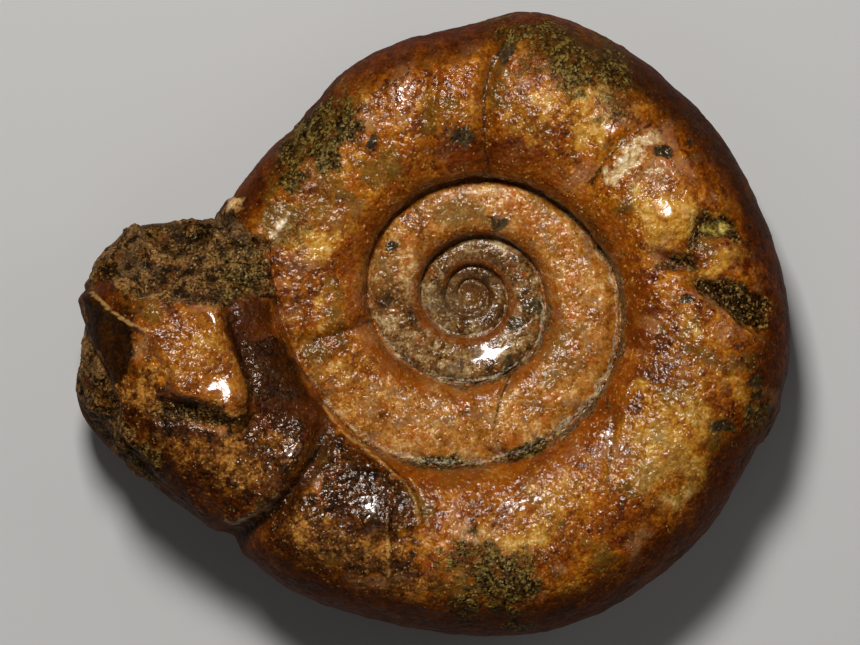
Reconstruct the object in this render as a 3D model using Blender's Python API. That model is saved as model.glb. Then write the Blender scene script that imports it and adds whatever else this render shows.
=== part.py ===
"""Ammonite fossil of the genus Kossmatella, lying on its side with the finished flank up.

One closed stone body. Lengths in the constants are millimetres and the mesh is written in metres.
The coil turns clockwise seen from above. Growth is counted in turns: 0 is the last half turn's start on
the right hand side, each whole turn further in is one less, and the shell ends a little past 0.54.
"""

import math

import bmesh
import bpy
import numpy as np

MM = 0.001

# The mesh: steps round one turn, and faces across the whorl
STEPS_PER_TURN = 120
STEPS_CLOSER = 0.4
CLOSEST_AT = 0.49
TOP_FLANK = 5
TOP_VENTER = 4
LOW_VENTER = 4
LOW_FLANK = 3
FIRST_TURN = -3.4
LAST_TURN = 0.541

# Where the coil's own axis stands in the frame, and how the coil's middle plane leans over the rest plane
AXIS_AT = (1.78, 1.55)
MIDDLE_HEIGHT = 5.10
LEAN_X = -0.009
LEAN_Y = -0.006

# Radius of the seam where each whorl meets the one inside it, every twelfth of a turn from turn -2.5
SEAM_FROM = -2.5
SEAM = [
    1.20, 1.22, 1.32, 1.40, 1.48, 1.62, 1.84, 2.02, 2.17, 2.21, 2.30, 2.40,
    2.49, 2.51, 2.57, 2.80, 3.10, 3.40, 3.68, 4.15, 4.40, 4.55, 4.70, 4.95,
    5.10, 5.35, 5.48, 5.65, 6.00, 6.50, 7.40, 8.00, 8.30, 8.60, 9.00, 9.05,
    9.70, 11.2,
]  # fmt: skip

# Radius of the outer edge of the last whorl by turn: a bulge of rock sits at 0.46, the broken end past 0.5
RIM = [
    (-0.459, 13.05), (-0.417, 12.50), (-0.375, 12.05), (-0.333, 12.70), (-0.292, 13.05), (-0.25, 13.40),
    (-0.222, 14.25), (-0.167, 14.45), (-0.125, 14.50), (-0.083, 14.80), (-0.042, 15.15), (0.0, 15.80),
    (0.042, 16.40), (0.083, 16.25), (0.125, 16.75), (0.167, 17.05), (0.208, 17.32), (0.25, 17.10),
    (0.292, 16.97), (0.333, 17.30), (0.375, 17.37), (0.394, 17.75), (0.417, 18.55), (0.436, 19.70),
    (0.458, 20.40), (0.475, 19.60), (0.489, 19.00), (0.503, 19.05), (0.514, 18.80), (0.522, 18.00),
    (0.530, 17.20), (0.536, 15.80), (0.541, 13.90),
]  # fmt: skip

# How far the crest stands above and below the coil's middle plane, and how far out on each whorl the next one
# covers it (-1 seam, 0 crest, 1 rim)
TOP_CREST = [
    (-4.5, 0.214), (-0.5, 3.43), (-0.375, 3.70), (-0.25, 4.20), (0.0, 4.85),
    (0.25, 5.40), (0.375, 5.65), (0.45, 6.10), (0.541, 6.20),
]  # fmt: skip
LOW_CREST = [
    (-4.5, 0.214), (-0.5, 3.43), (-0.375, 3.95), (-0.25, 4.65), (-0.125, 4.98), (0.0, 5.10),
    (0.25, 5.25), (0.375, 5.35), (0.541, 5.30),
]  # fmt: skip
COVERED_TO = [
    (-4.5, 0.76), (-1.0, 0.76), (-0.75, 0.70), (-0.56, 0.50), (-0.459, 0.365), (-0.35, 0.60), (0.541, 0.60),
]  # fmt: skip
SHOULDER = [(-4.5, 3.2), (-1.0, 3.1), (-0.5, 2.9), (0.0, 2.7), (0.541, 2.7)]
ROUNDNESS = [(-4.5, 3.0), (-1.0, 3.0), (-0.5, 2.7), (-0.3, 2.4), (0.541, 2.3)]

# The broken end: the flank breaks off along a slope that starts on this line and falls away from it
BREAK_Y = -0.55
BREAK_TOP = 6.0
BREAK_FALL = 1.28
HUG_FROM = 10.6
HUG_TO = 14.0
HUG_HEIGHT = 3.62

# Furrows pressed into the upper side: points along each, half width, depth
FURROWS = [
    ([(1.0, 5.9), (0.75, 7.15), (0.65, 9.65), (1.0, 11.15), (1.75, 12.9)], 0.45, 0.34),
    ([(-2.1, 6.15), (-2.25, 8.65), (-2.25, 10.65), (-2.0, 12.6)], 0.40, 0.14),
    ([(6.0, 5.4), (6.75, 6.65), (7.75, 7.65), (9.0, 8.4)], 0.35, 0.22),
    ([(6.75, -5.1), (7.0, -6.85), (6.9, -9.35)], 0.35, 0.16),
    ([(-7.4, -7.1), (-7.6, -7.85), (-8.5, -9.1), (-9.25, -10.35), (-10.25, -11.35), (-12.4, -12.6)],
     0.55, 0.75),
    ([(-12.1, -1.1), (-11.5, -2.85), (-10.9, -4.85), (-11.1, -6.35)], 0.45, 0.40),
    ([(11.0, 0.6), (12.4, -0.2), (13.6, -0.9), (14.6, -1.9)], 0.40, 0.50),
    ([(9.2, 1.9), (10.1, 1.5), (11.0, 1.3)], 0.35, 0.30),
]
INNER_FURROWS = [
    ([(-5.2, -1.4), (-6.0, -1.85), (-7.75, -2.35), (-8.8, -2.6)], 0.35, 0.26),
    ([(0.5, -5.6), (0.65, -7.35)], 0.30, 0.12),
    ([(2.1, -4.2), (1.5, -5.35), (1.25, -7.35)], 0.22, 0.10),
]

# Swellings and pits of the upper side: middle, half length, half width, turned by degrees, height
SWELLINGS = [
    ((-0.7, 9.4), 2.2, 1.4, 90, 0.16),
    ((4.2, 8.9), 2.6, 1.9, 70, 0.24),
    ((9.6, 4.2), 2.2, 1.6, 40, 0.22),
    ((7.6, 7.6), 1.9, 0.8, 48, 0.14),
    ((12.25, 3.35), 1.0, 0.7, 10, -0.45),
    ((-13.65, -3.35), 2.3, 2.4, 0, 0.45),
    ((-13.0, -8.2), 3.6, 1.3, 35, 0.25),
    ((-18.4, -5.6), 1.6, 3.0, 0, -0.6),
    ((-16.3, 1.6), 2.6, 1.4, 0, -0.5),
    ((-5.0, -10.5), 2.6, 1.6, -60, 0.16),
    ((6.0, -9.6), 2.6, 2.0, -40, 0.15),
    ((11.0, -6.0), 2.4, 1.8, -65, 0.15),
]

# How far across a whorl from its seams the relief fades out, as a share of the half width
SEAM_FADE = 0.15


def along(knots, turns):
    """The smooth curve through (turn, value) knots, read at these turns."""
    at, value = np.array(knots, float).T
    slope = np.gradient(value, at)
    i = np.clip(np.searchsorted(at, turns) - 1, 0, len(at) - 2)
    width = at[i + 1] - at[i]
    s = np.clip((turns - at[i]) / width, 0.0, 1.0)
    start = (1 + 2 * s) * (1 - s) ** 2 * value[i] + s * (1 - s) ** 2 * width * slope[i]
    end = s * s * (3 - 2 * s) * value[i + 1] + s * s * (s - 1) * width * slope[i + 1]
    return start + end


def seam_radius(turns):
    """The measured seam, and further in the same turn again at half the size."""
    turns = np.asarray(turns, float)
    inward = np.maximum(np.ceil(SEAM_FROM - turns), 0)
    knots = [(SEAM_FROM + i / 12, math.log(r)) for i, r in enumerate(SEAM)]
    return np.exp(along(knots, turns + inward)) / 2.0**inward


def crest_height(turns, crests):
    return np.exp(along([(t, math.log(h)) for t, h in crests], turns))


def rim_radius(turns):
    """The outer edge: measured on the last whorl, and from the covered share on the whorls inside it."""
    turns = np.asarray(turns, float)
    inner = seam_radius(turns)
    reach = (along(COVERED_TO, turns) + 1) / 2
    hidden = inner + (seam_radius(np.minimum(turns + 1, LAST_TURN)) - inner) / reach
    return np.where(turns < LAST_TURN - 1 - 1e-9, hidden, along(RIM, turns))


def dome(x, turns):
    """Height of the flank from crest to rim as a share of the half thickness."""
    n = along(ROUNDNESS, turns)
    return (1 - np.clip(np.abs(x), 0, 1) ** n) ** (1 / n)


def seam_height(turns, crests):
    """The seam lies on the flank of the whorl inside, at the point where this whorl covers it."""
    return crest_height(turns - 1, crests) * dome(along(COVERED_TO, turns - 1), turns - 1)


def flank_side(turns, crests, faces, beyond):
    """Points from the seam to the rim of one side: share across (-1 to 1) and height at each turn."""
    cover = along(COVERED_TO, turns)[:, None]
    last = np.clip((turns[:, None] - (LAST_TURN - 1)) / 0.1, 0, 1)
    u = np.linspace(0, 1, faces + 1)[None, :]
    spaced = (1 - last) * (1 - np.cos(np.pi * u)) / 2 + last * u**1.6
    x = -1 + (cover + 1) * spaced
    n = along(ROUNDNESS, turns)[:, None]
    angle = np.arccos(cover ** (n / 2)) * (1 - np.linspace(0, 1, beyond + 1)[None, 1:])
    x = np.hstack([x, np.cos(angle) ** (2 / n)])
    crest = crest_height(turns, crests)[:, None]
    seam = seam_height(turns, crests)[:, None] / crest
    seam = np.maximum(seam, 1 - np.clip(turns[:, None] - FIRST_TURN, 0, 1) * 0.62)
    m = along(SHOULDER, turns)[:, None]
    wall = seam + (1 - seam) * (1 - np.abs(np.minimum(x, 0)) ** m) ** (1 / m)
    return x, crest * np.where(x < 0, wall, dome(x, turns[:, None]))


def strip_points(turns):
    """Points of the outside in the coil's own plane: a row for each turn, upper seam to lower seam."""
    top_x, top_z = flank_side(turns, TOP_CREST, TOP_FLANK, TOP_VENTER)
    low_x, low_z = flank_side(turns, LOW_CREST, LOW_FLANK, LOW_VENTER)
    across = np.hstack([top_x, low_x[:, -2::-1]])
    z = np.hstack([top_z, -low_z[:, -2::-1]])
    inner = seam_radius(turns)[:, None]
    radius = inner + (across + 1) / 2 * (rim_radius(turns)[:, None] - inner)
    angle = 2 * np.pi * turns[:, None]
    x = radius * np.cos(angle)
    y = -radius * np.sin(angle)
    late = (turns[:, None] > 0.4) & (z > 0)
    slope = BREAK_TOP - BREAK_FALL * np.maximum(y - BREAK_Y, 0)
    share = np.clip((radius - HUG_FROM) / (HUG_TO - HUG_FROM), 0, 1)
    hug = HUG_HEIGHT * (1 - share**2.5) ** 0.4
    z = np.where(late, np.minimum(z, np.maximum(slope, hug)), z)
    points = np.stack([x, y, z], axis=-1)
    return points + outward(points) * relief(points, across, turns)[..., None]


def outward(points):
    """Unit normals of the grid of points, facing out of the shell."""
    normal = np.cross(np.gradient(points, axis=0), np.gradient(points, axis=1))
    return normal / np.maximum(np.linalg.norm(normal, axis=-1, keepdims=True), 1e-9)


def relief(points, across, turns):
    """How far the surface stands out: swellings, pits and furrows of the upper side, none at the seams."""
    last_whorl = (turns > LAST_TURN - 1 - 1e-9)[:, None]
    outer = sum(bulge_at(points, swelling) for swelling in SWELLINGS)
    outer = outer - sum(furrow_at(points, furrow) for furrow in FURROWS)
    inner = -sum(furrow_at(points, furrow) for furrow in INNER_FURROWS)
    cover = along(COVERED_TO, turns)[:, None]
    seams = np.clip((across + 1) / SEAM_FADE, 0, 1)
    seams = seams * np.where(last_whorl, 1, np.clip((cover - across) / SEAM_FADE, 0, 1))
    upper = np.clip((points[..., 2] + 0.6) / 1.2, 0, 1)
    return np.where(last_whorl, outer, inner) * upper * seams


def furrow_at(points, furrow):
    """Depth of one furrow at these points."""
    line, width, depth = furrow
    return depth * np.exp(-((distance_to(points, line) / width) ** 2))


def bulge_at(points, swelling):
    """Height that one swelling or pit adds at these points."""
    (cx, cy), length, width, turned, height = swelling
    a = math.radians(turned)
    u = ((points[..., 0] - cx) * math.cos(a) + (points[..., 1] - cy) * math.sin(a)) / length
    v = ((points[..., 1] - cy) * math.cos(a) - (points[..., 0] - cx) * math.sin(a)) / width
    return height * np.exp(-((u * u + v * v) ** 1.3))


def distance_to(points, line):
    """Distance in plan from each point to a line of points."""
    best = np.full(points.shape[:-1], 1e9)
    for (ax, ay), (bx, by) in zip(line, line[1:]):
        run = np.array([bx - ax, by - ay])
        share = ((points[..., :2] - (ax, ay)) @ run / (run @ run)).clip(0, 1)
        near = np.array([ax, ay]) + share[..., None] * run
        best = np.minimum(best, np.linalg.norm(points[..., :2] - near, axis=-1))
    return best


def turns_of_steps():
    """Growth turns of the steps, closer together on the left, the same in every turn so that seams meet."""
    fine = np.linspace(-1, 2, 30001)
    warped = fine - STEPS_CLOSER / (2 * np.pi) * np.sin(2 * np.pi * (fine - CLOSEST_AT))
    last = float(np.interp(LAST_TURN, warped, fine))
    count = int(round((LAST_TURN - FIRST_TURN) * STEPS_PER_TURN))
    steps = last - np.arange(count, -1, -1) / STEPS_PER_TURN
    whole = np.floor(steps)
    return whole + np.interp(steps - whole, fine, warped)


def chain_of(bm, points, start):
    """A chain of vertices through these points, tagged with their place across the whorl."""
    place = bm.verts.layers.int["place"]
    verts = []
    for i, point in enumerate(points):
        vert = bm.verts.new(point)
        vert[place] = start + i
        verts.append(vert)
    edges = [bm.edges.new(pair) for pair in zip(verts, verts[1:])]
    return verts, edges


def extruded(bm, edges, points):
    """The chain extruded one step on, each new vertex moved to its point."""
    place = bm.verts.layers.int["place"]
    made = bmesh.ops.extrude_edge_only(bm, edges=edges)["geom"]
    verts = [g for g in made if isinstance(g, bmesh.types.BMVert)]
    verts.sort(key=lambda v: v[place])
    for vert in verts:
        vert.co = points[vert[place]]
    new = set(verts)
    chain = [g for g in made if isinstance(g, bmesh.types.BMEdge) and new.issuperset(g.verts)]
    return verts, chain


def coil_strip(bm, points, full_from):
    """Two ribbons, the flanks, that become the whole whorl from step full_from. Returns the rows."""
    across = points.shape[1]
    low = across - 1 - LOW_FLANK
    top_verts, top_edges = chain_of(bm, points[0][: TOP_FLANK + 1], 0)
    low_verts, low_edges = chain_of(bm, points[0][low:], low)
    rows = [dict(enumerate(top_verts)) | {low + i: v for i, v in enumerate(low_verts)}]
    place = bm.verts.layers.int["place"]
    for i in range(1, full_from + 1):
        top_verts, top_edges = extruded(bm, top_edges, points[i])
        low_verts, low_edges = extruded(bm, low_edges, points[i])
        rows.append({v[place]: v for v in top_verts + low_verts})
    middle, middle_edges = chain_of(bm, points[full_from][TOP_FLANK + 1 : low], TOP_FLANK + 1)
    joins = [bm.edges.new((top_verts[-1], middle[0])), bm.edges.new((middle[-1], low_verts[0]))]
    rows[-1].update({v[place]: v for v in middle})
    edges = top_edges + joins + middle_edges + low_edges
    for i in range(full_from + 1, len(points)):
        verts, edges = extruded(bm, edges, points[i])
        rows.append({v[place]: v for v in verts})
    return rows


def weld_seams(bm, rows):
    """Each whorl's inner edge becomes one with the outer edge of the ribbon a turn before, on both sides."""
    last = max(rows[-1])
    low = last - LOW_FLANK
    meets = {}
    for i in range(STEPS_PER_TURN, len(rows)):
        meets[rows[i][0]] = rows[i - STEPS_PER_TURN][TOP_FLANK]
        meets[rows[i][last]] = rows[i - STEPS_PER_TURN][low]
    bmesh.ops.weld_verts(bm, targetmap=meets)


def close_ends(bm):
    """Fills the embryonic shell in the middle of each side and the broken end of the last whorl."""
    open_edges = [e for e in bm.edges if e.is_boundary]
    faces = bmesh.ops.holes_fill(bm, edges=open_edges, sides=0)["faces"]
    bmesh.ops.triangulate(bm, faces=faces, ngon_method="BEAUTY")


def set_down(bm):
    """Leans the coil over the rest plane, wears flat what would stand below, and turns it to metres."""
    for vert in bm.verts:
        x, y, z = vert.co
        z += MIDDLE_HEIGHT + LEAN_X * x + LEAN_Y * y
        vert.co = ((x + AXIS_AT[0]) * MM, (y + AXIS_AT[1]) * MM, z * MM)
    everything = bm.verts[:] + bm.edges[:] + bm.faces[:]
    bmesh.ops.bisect_plane(bm, geom=everything, dist=1e-7, plane_no=(0, 0, -1), clear_outer=True)
    cut = [e for e in bm.edges if e.is_boundary]
    worn = bmesh.ops.holes_fill(bm, edges=cut, sides=0)["faces"]
    bmesh.ops.triangulate(bm, faces=worn, ngon_method="EAR_CLIP")


def shell_mesh():
    bm = bmesh.new()
    bm.verts.layers.int.new("place")
    turns = turns_of_steps()
    full_from = len(turns) - 1 - STEPS_PER_TURN
    rows = coil_strip(bm, strip_points(turns), full_from)
    weld_seams(bm, rows)
    close_ends(bm)
    bmesh.ops.recalc_face_normals(bm, faces=bm.faces)
    set_down(bm)
    bmesh.ops.triangulate(bm, faces=bm.faces)
    bmesh.ops.recalc_face_normals(bm, faces=bm.faces)
    mesh = bpy.data.meshes.new("ammonite")
    bm.to_mesh(mesh)
    bm.free()
    return mesh


def stone():
    """Brown calcite and iron-stained shell, polished by handling."""
    material = bpy.data.materials.new("stone")
    material.use_nodes = True
    shader = material.node_tree.nodes["Principled BSDF"]
    shader.inputs["Base Color"].default_value = (0.29, 0.135, 0.042, 1.0)
    shader.inputs["Roughness"].default_value = 0.38
    return material


def main():
    for old in list(bpy.data.objects):
        bpy.data.objects.remove(old, do_unlink=True)
    mesh = shell_mesh()
    mesh.polygons.foreach_set("use_smooth", [True] * len(mesh.polygons))
    ammonite = bpy.data.objects.new("ammonite", mesh)
    ammonite.data.materials.append(stone())
    bpy.context.scene.collection.objects.link(ammonite)


main()
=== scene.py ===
# %% [markdown]
# # A fossil ammonite, lying on its side
# The real thing is one piece of stone: the coiled shell of a sea animal, turned to brown calcite and iron
# stained, with some of the sand it was buried in still stuck to it. So the scene has one piece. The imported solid
# has its main shape already, and this script builds the same coil again with far more faces, then adds what is too
# fine for the solid: shell edges, cracks, grains, and the colours.

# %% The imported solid, kept as the frame
import math

import bmesh
import bpy
import numpy as np
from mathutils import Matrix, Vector, noise


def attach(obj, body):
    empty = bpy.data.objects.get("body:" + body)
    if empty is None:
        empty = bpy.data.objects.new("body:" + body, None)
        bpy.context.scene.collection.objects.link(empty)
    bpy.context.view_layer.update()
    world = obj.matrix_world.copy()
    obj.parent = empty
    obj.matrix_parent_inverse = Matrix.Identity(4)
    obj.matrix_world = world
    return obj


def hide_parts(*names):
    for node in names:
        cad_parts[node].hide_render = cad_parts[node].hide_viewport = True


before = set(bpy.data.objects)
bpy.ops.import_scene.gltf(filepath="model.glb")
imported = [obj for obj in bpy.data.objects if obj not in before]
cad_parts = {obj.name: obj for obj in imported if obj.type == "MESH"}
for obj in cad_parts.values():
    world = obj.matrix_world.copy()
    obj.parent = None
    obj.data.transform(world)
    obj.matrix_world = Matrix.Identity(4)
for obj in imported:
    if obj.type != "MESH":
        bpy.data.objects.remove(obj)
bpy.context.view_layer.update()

MM = 0.001

# %% [markdown]
# ## The camera
# The fossil was photographed from straight above. A long lens far away keeps near and far parts of the coil at one
# scale, as in the picture, where a short lens would swell the middle. The distance follows from the lens and from
# how many millimetres the picture spans.

# %% Looking straight down
PICTURE_WIDTH = 43.0
PICTURE_MIDDLE = (-0.22, 0.075)
SHARP_HEIGHT = 5.0
LENS = 500.0
SENSOR = 36.0

camera_data = bpy.data.cameras.new("camera")
camera_data.lens = LENS
camera_data.sensor_width = SENSOR
camera = bpy.data.objects.new("camera", camera_data)
camera_height = SHARP_HEIGHT + LENS / SENSOR * PICTURE_WIDTH
camera.location = (PICTURE_MIDDLE[0] * MM, PICTURE_MIDDLE[1] * MM, camera_height * MM)
bpy.context.scene.collection.objects.link(camera)
bpy.context.scene.camera = camera
print("camera height, mm:", round(camera_height, 1))

# %% [markdown]
# ## Floor and light
# A pale sheet lies under the fossil. The light is a soft studio set: a key light from the top of the picture,
# low enough to rake over the relief, a weaker one from the right, and an even sky. The wet-looking highlights are
# mirror images of these lights, so their size sets how large the highlights are.

# %% A pale floor and soft lamps
FLOOR_SIDE = 900.0
FLOOR_GREY = (0.46, 0.45, 0.435, 1.0)
LAMPS = [
    # name, direction (clockwise from the top of the picture, degrees), height (degrees), distance, side, watts
    ("key", -14.0, 62.0, 260.0, 50.0, 0.70),
    ("side", 75.0, 45.0, 300.0, 120.0, 0.05),
    ("fill", 200.0, 60.0, 300.0, 160.0, 0.04),
]


def aim_lamp(name, bearing, height, distance, side, watts):
    """A square lamp that looks at the middle of the fossil."""
    data = bpy.data.lights.new(name, "AREA")
    data.energy = watts
    data.size = side * MM
    lamp = bpy.data.objects.new(name, data)
    flat = math.cos(math.radians(height))
    way = Vector((math.sin(math.radians(bearing)) * flat, math.cos(math.radians(bearing)) * flat,
                  math.sin(math.radians(height))))
    lamp.location = way * distance * MM
    lamp.rotation_mode = "QUATERNION"
    lamp.rotation_quaternion = way.to_track_quat("Z", "Y")
    bpy.context.scene.collection.objects.link(lamp)


for lamp in LAMPS:
    aim_lamp(*lamp)

floor_mesh = bpy.data.meshes.new("floor")
bm = bmesh.new()
bmesh.ops.create_grid(bm, x_segments=1, y_segments=1, size=FLOOR_SIDE / 2 * MM)
bm.to_mesh(floor_mesh)
bm.free()
floor = bpy.data.objects.new("floor", floor_mesh)
bpy.context.scene.collection.objects.link(floor)

paper = bpy.data.materials.new("matt paper sheet")
paper.use_nodes = True
paper.node_tree.nodes["Principled BSDF"].inputs["Base Color"].default_value = FLOOR_GREY
paper.node_tree.nodes["Principled BSDF"].inputs["Roughness"].default_value = 0.9
floor_mesh.materials.append(paper)

SKY_GREY = (1.0, 1.0, 1.0, 1.0)
SKY_STRENGTH = 0.05
sky = bpy.data.worlds.new("sky")
sky.use_nodes = True
sky.node_tree.nodes["Background"].inputs["Color"].default_value = SKY_GREY
sky.node_tree.nodes["Background"].inputs["Strength"].default_value = SKY_STRENGTH
bpy.context.scene.world = sky
bpy.context.scene.view_settings.view_transform = "Standard"
print("lamps:", [lamp[0] for lamp in LAMPS])

# %% [markdown]
# ## The measured coil
# An ammonite grows as a coil whose tube widens steadily. Growth is counted in turns: at turn 0 the tube points to
# the right, each turn further in is one less, and the tube breaks off a little past turn 0.54. A perfect log
# spiral would be the quick way, but a real shell widens in spurts and was crushed a little in the rock, so the
# seam and the outer edge are read off the photograph at a few turns, in millimetres, and a smooth curve runs
# through them. These are the values the solid was made with.

# %% Seam, rim and thickness by turn
FIRST_TURN = -4.459
LAST_TURN = 0.541
AXIS_AT = (1.78, 1.55)
MIDDLE_HEIGHT = 5.10
LEAN_X = -0.009
LEAN_Y = -0.006
SEAM_FROM = -2.5
SEAM = [
    1.20, 1.22, 1.32, 1.40, 1.48, 1.62, 1.84, 2.02, 2.17, 2.21, 2.30, 2.40,
    2.49, 2.51, 2.57, 2.80, 3.10, 3.40, 3.68, 4.15, 4.40, 4.55, 4.70, 4.95,
    5.10, 5.35, 5.48, 5.65, 6.00, 6.50, 7.40, 8.00, 8.30, 8.60, 9.00, 9.05,
    9.70, 11.2,
]  # fmt: skip
RIM = [
    (-0.459, 13.05), (-0.417, 12.50), (-0.375, 12.05), (-0.333, 12.70), (-0.292, 13.05), (-0.25, 13.40),
    (-0.222, 14.25), (-0.167, 14.45), (-0.125, 14.50), (-0.083, 14.80), (-0.042, 15.15), (0.0, 15.80),
    (0.042, 16.40), (0.083, 16.25), (0.125, 16.75), (0.167, 17.05), (0.208, 17.32), (0.25, 17.10),
    (0.292, 16.97), (0.333, 17.30), (0.375, 17.37), (0.394, 17.75), (0.417, 18.55), (0.436, 19.70),
    (0.458, 20.40), (0.475, 19.60), (0.489, 19.00), (0.503, 19.05), (0.514, 18.80), (0.522, 18.00),
    (0.530, 17.20), (0.536, 15.80), (0.541, 13.90),
]  # fmt: skip
TOP_CREST = [
    (-4.5, 0.214), (-0.5, 3.43), (-0.375, 3.70), (-0.25, 4.20), (0.0, 4.85),
    (0.25, 5.40), (0.375, 5.65), (0.45, 6.10), (0.541, 6.20),
]  # fmt: skip
LOW_CREST = [
    (-4.5, 0.214), (-0.5, 3.43), (-0.375, 3.95), (-0.25, 4.65), (-0.125, 4.98), (0.0, 5.10),
    (0.25, 5.25), (0.375, 5.35), (0.541, 5.30),
]  # fmt: skip
COVERED_TO = [(-4.5, 0.76), (-1.0, 0.76), (-0.75, 0.70), (-0.56, 0.50), (-0.459, 0.365), (-0.35, 0.60), (0.541, 0.60)]
SHOULDER = [(-4.5, 3.2), (-1.0, 3.1), (-0.5, 2.9), (0.0, 2.7), (0.541, 2.7)]
ROUNDNESS = [(-4.5, 3.0), (-1.0, 3.0), (-0.5, 2.7), (-0.3, 2.4), (0.541, 2.3)]


def along(knots, turns):
    """The smooth curve through (turn, value) knots, read at these turns."""
    at, value = np.array(knots, float).T
    slope = np.gradient(value, at)
    i = np.clip(np.searchsorted(at, turns) - 1, 0, len(at) - 2)
    width = at[i + 1] - at[i]
    s = np.clip((turns - at[i]) / width, 0.0, 1.0)
    start = (1 + 2 * s) * (1 - s) ** 2 * value[i] + s * (1 - s) ** 2 * width * slope[i]
    end = s * s * (3 - 2 * s) * value[i + 1] + s * s * (s - 1) * width * slope[i + 1]
    return start + end


def seam_radius(turns):
    """The measured seam, and further in the same turn again at half the size."""
    turns = np.asarray(turns, float)
    inward = np.maximum(np.ceil(SEAM_FROM - turns), 0)
    knots = [(SEAM_FROM + i / 12, math.log(r)) for i, r in enumerate(SEAM)]
    return np.exp(along(knots, turns + inward)) / 2.0**inward


def crest_height(turns, crests):
    return np.exp(along([(t, math.log(h)) for t, h in crests], turns))


def rim_radius(turns):
    """The outer edge: measured on the last whorl, and from the covered share on the whorls inside it."""
    turns = np.asarray(turns, float)
    inner = seam_radius(turns)
    reach = (along(COVERED_TO, turns) + 1) / 2
    hidden = inner + (seam_radius(np.minimum(turns + 1, LAST_TURN)) - inner) / reach
    return np.where(turns < LAST_TURN - 1 - 1e-9, hidden, along(RIM, turns))


print("seam at turn 0, mm:", round(float(seam_radius(0.0)), 2), "rim:", round(float(rim_radius(0.0)), 2))

# %% [markdown]
# ## The cross section
# Cut through, each whorl is a rounded box: a steep wall down to the seam, a broad flank, and a rounded outer side.
# A superellipse gives that from one number, how square it is. Points are then spaced evenly along this outline, so
# that the faces come out nearly square everywhere.

# %% Points across a whorl
FINE = 160
BREAK_FROM = 0.4
BREAK_Y = -0.55
BREAK_TOP = 6.0
BREAK_FALL = 1.28
HUG_FROM = 10.6
HUG_TO = 14.0
HUG_HEIGHT = 3.62


def dome(x, turns):
    """Height of the flank from crest to rim as a share of the half thickness."""
    n = along(ROUNDNESS, turns)
    return (1 - np.clip(np.abs(x), 0, 1) ** n) ** (1 / n)


def seam_share(turns, crests):
    """Height of the seam, on the flank of the whorl inside, as a share of this whorl's half thickness."""
    inside = crest_height(turns - 1, crests) * dome(along(COVERED_TO, turns - 1), turns - 1)
    grown = 1 - np.clip(turns - FIRST_TURN, 0, 1) * 0.62
    return np.maximum(inside / crest_height(turns, crests), grown)


def side_height(x, turns, crests):
    """Height above the middle plane at this share across: -1 is the seam, 0 the crest, 1 the rim."""
    seam = seam_share(turns, crests)
    m = along(SHOULDER, turns)
    wall = seam + (1 - seam) * (1 - np.abs(np.minimum(x, 0)) ** m) ** (1 / m)
    return crest_height(turns, crests) * np.where(x < 0, wall, dome(x, turns))


def broken_off(x, y, z, turns):
    """The upper side where the shell is broken: a slope falls away, down to a cast that hugs the whorl inside."""
    slope = BREAK_TOP - BREAK_FALL * np.maximum(y - BREAK_Y, 0)
    share = np.clip((np.hypot(x, y) - HUG_FROM) / (HUG_TO - HUG_FROM), 0, 1)
    hug = HUG_HEIGHT * (1 - share**2.5) ** 0.4
    return np.where((turns > BREAK_FROM) & (z > 0), np.minimum(z, np.maximum(slope, hug)), z)


def side_grid(turns, ends, faces, crests, side):
    """Rows of points on one side (1 upper, -1 lower) between two shares across, evenly spaced along the surface."""
    start, stop = (np.broadcast_to(end, turns.shape)[:, None] for end in ends)
    sweep = (1 - np.cos(np.pi * np.linspace(0, 1, FINE + 1))) / 2
    x = start + (stop - start) * sweep
    turn = turns[:, None]
    inner = seam_radius(turn)
    radius = inner + (x + 1) / 2 * (rim_radius(turn) - inner)
    z = side_height(x, turn, crests)
    steps = np.hypot(np.diff(radius, axis=1), np.diff(z, axis=1))
    run = np.hstack([np.zeros((len(turns), 1)), np.cumsum(steps, axis=1)])
    even = np.linspace(0, 1, faces + 1)
    radius = np.array([np.interp(even * r[-1], r, row) for r, row in zip(run, radius)])
    z = np.array([np.interp(even * r[-1], r, row) for r, row in zip(run, z)]) * side
    px = radius * np.cos(2 * np.pi * turn)
    py = -radius * np.sin(2 * np.pi * turn)
    return np.stack([px, py, broken_off(px, py, z, turn)], axis=-1)


print("crest of the last whorl, mm:", round(float(crest_height(0.5, TOP_CREST)), 2))

# %% [markdown]
# ## Laying the surface
# The coil could be swept as one strip, but then the tiny inner turns would get as many faces as the large outer
# one. So each turn is its own grid of faces, laid through its points, with its own number of steps. Where two
# grids meet, every vertex on the finer edge is welded to the nearest one on the coarser edge, which closes the
# surface without a gap.

# %% Grids for each turn, welded together
STEPS_CLOSER = 0.35
CLOSEST_AT = 0.44
UPPER = [(640, 68), (320, 34), (170, 18), (110, 10), (80, 7)]
LOWER = [(320, 24), (170, 12), (110, 8), (80, 6), (80, 5)]
UPPER_VENTER = 26
LOWER_VENTER = 20
CAP_ROWS = 10


def turns_from(start, steps):
    """Turns of the steps round one whole turn from here, closer together round the broken end."""
    even = np.linspace(0, 1, steps + 1)
    away = 2 * np.pi * (start - CLOSEST_AT)
    return start + even - STEPS_CLOSER / (2 * np.pi) * (np.sin(2 * np.pi * even + away) - np.sin(away))


def lay(bm, points):
    """A grid of faces through rows of points. Returns its vertices in the same rows."""
    rows, across = points.shape[:2]
    made = bmesh.ops.create_grid(bm, x_segments=across - 1, y_segments=rows - 1, size=1.0)["verts"]
    for vert, point in zip(made, points.reshape(-1, 3)):
        vert.co = point
    return [made[i * across : (i + 1) * across] for i in range(rows)]


def column(rows, place):
    return [row[place] for row in rows]


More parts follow.
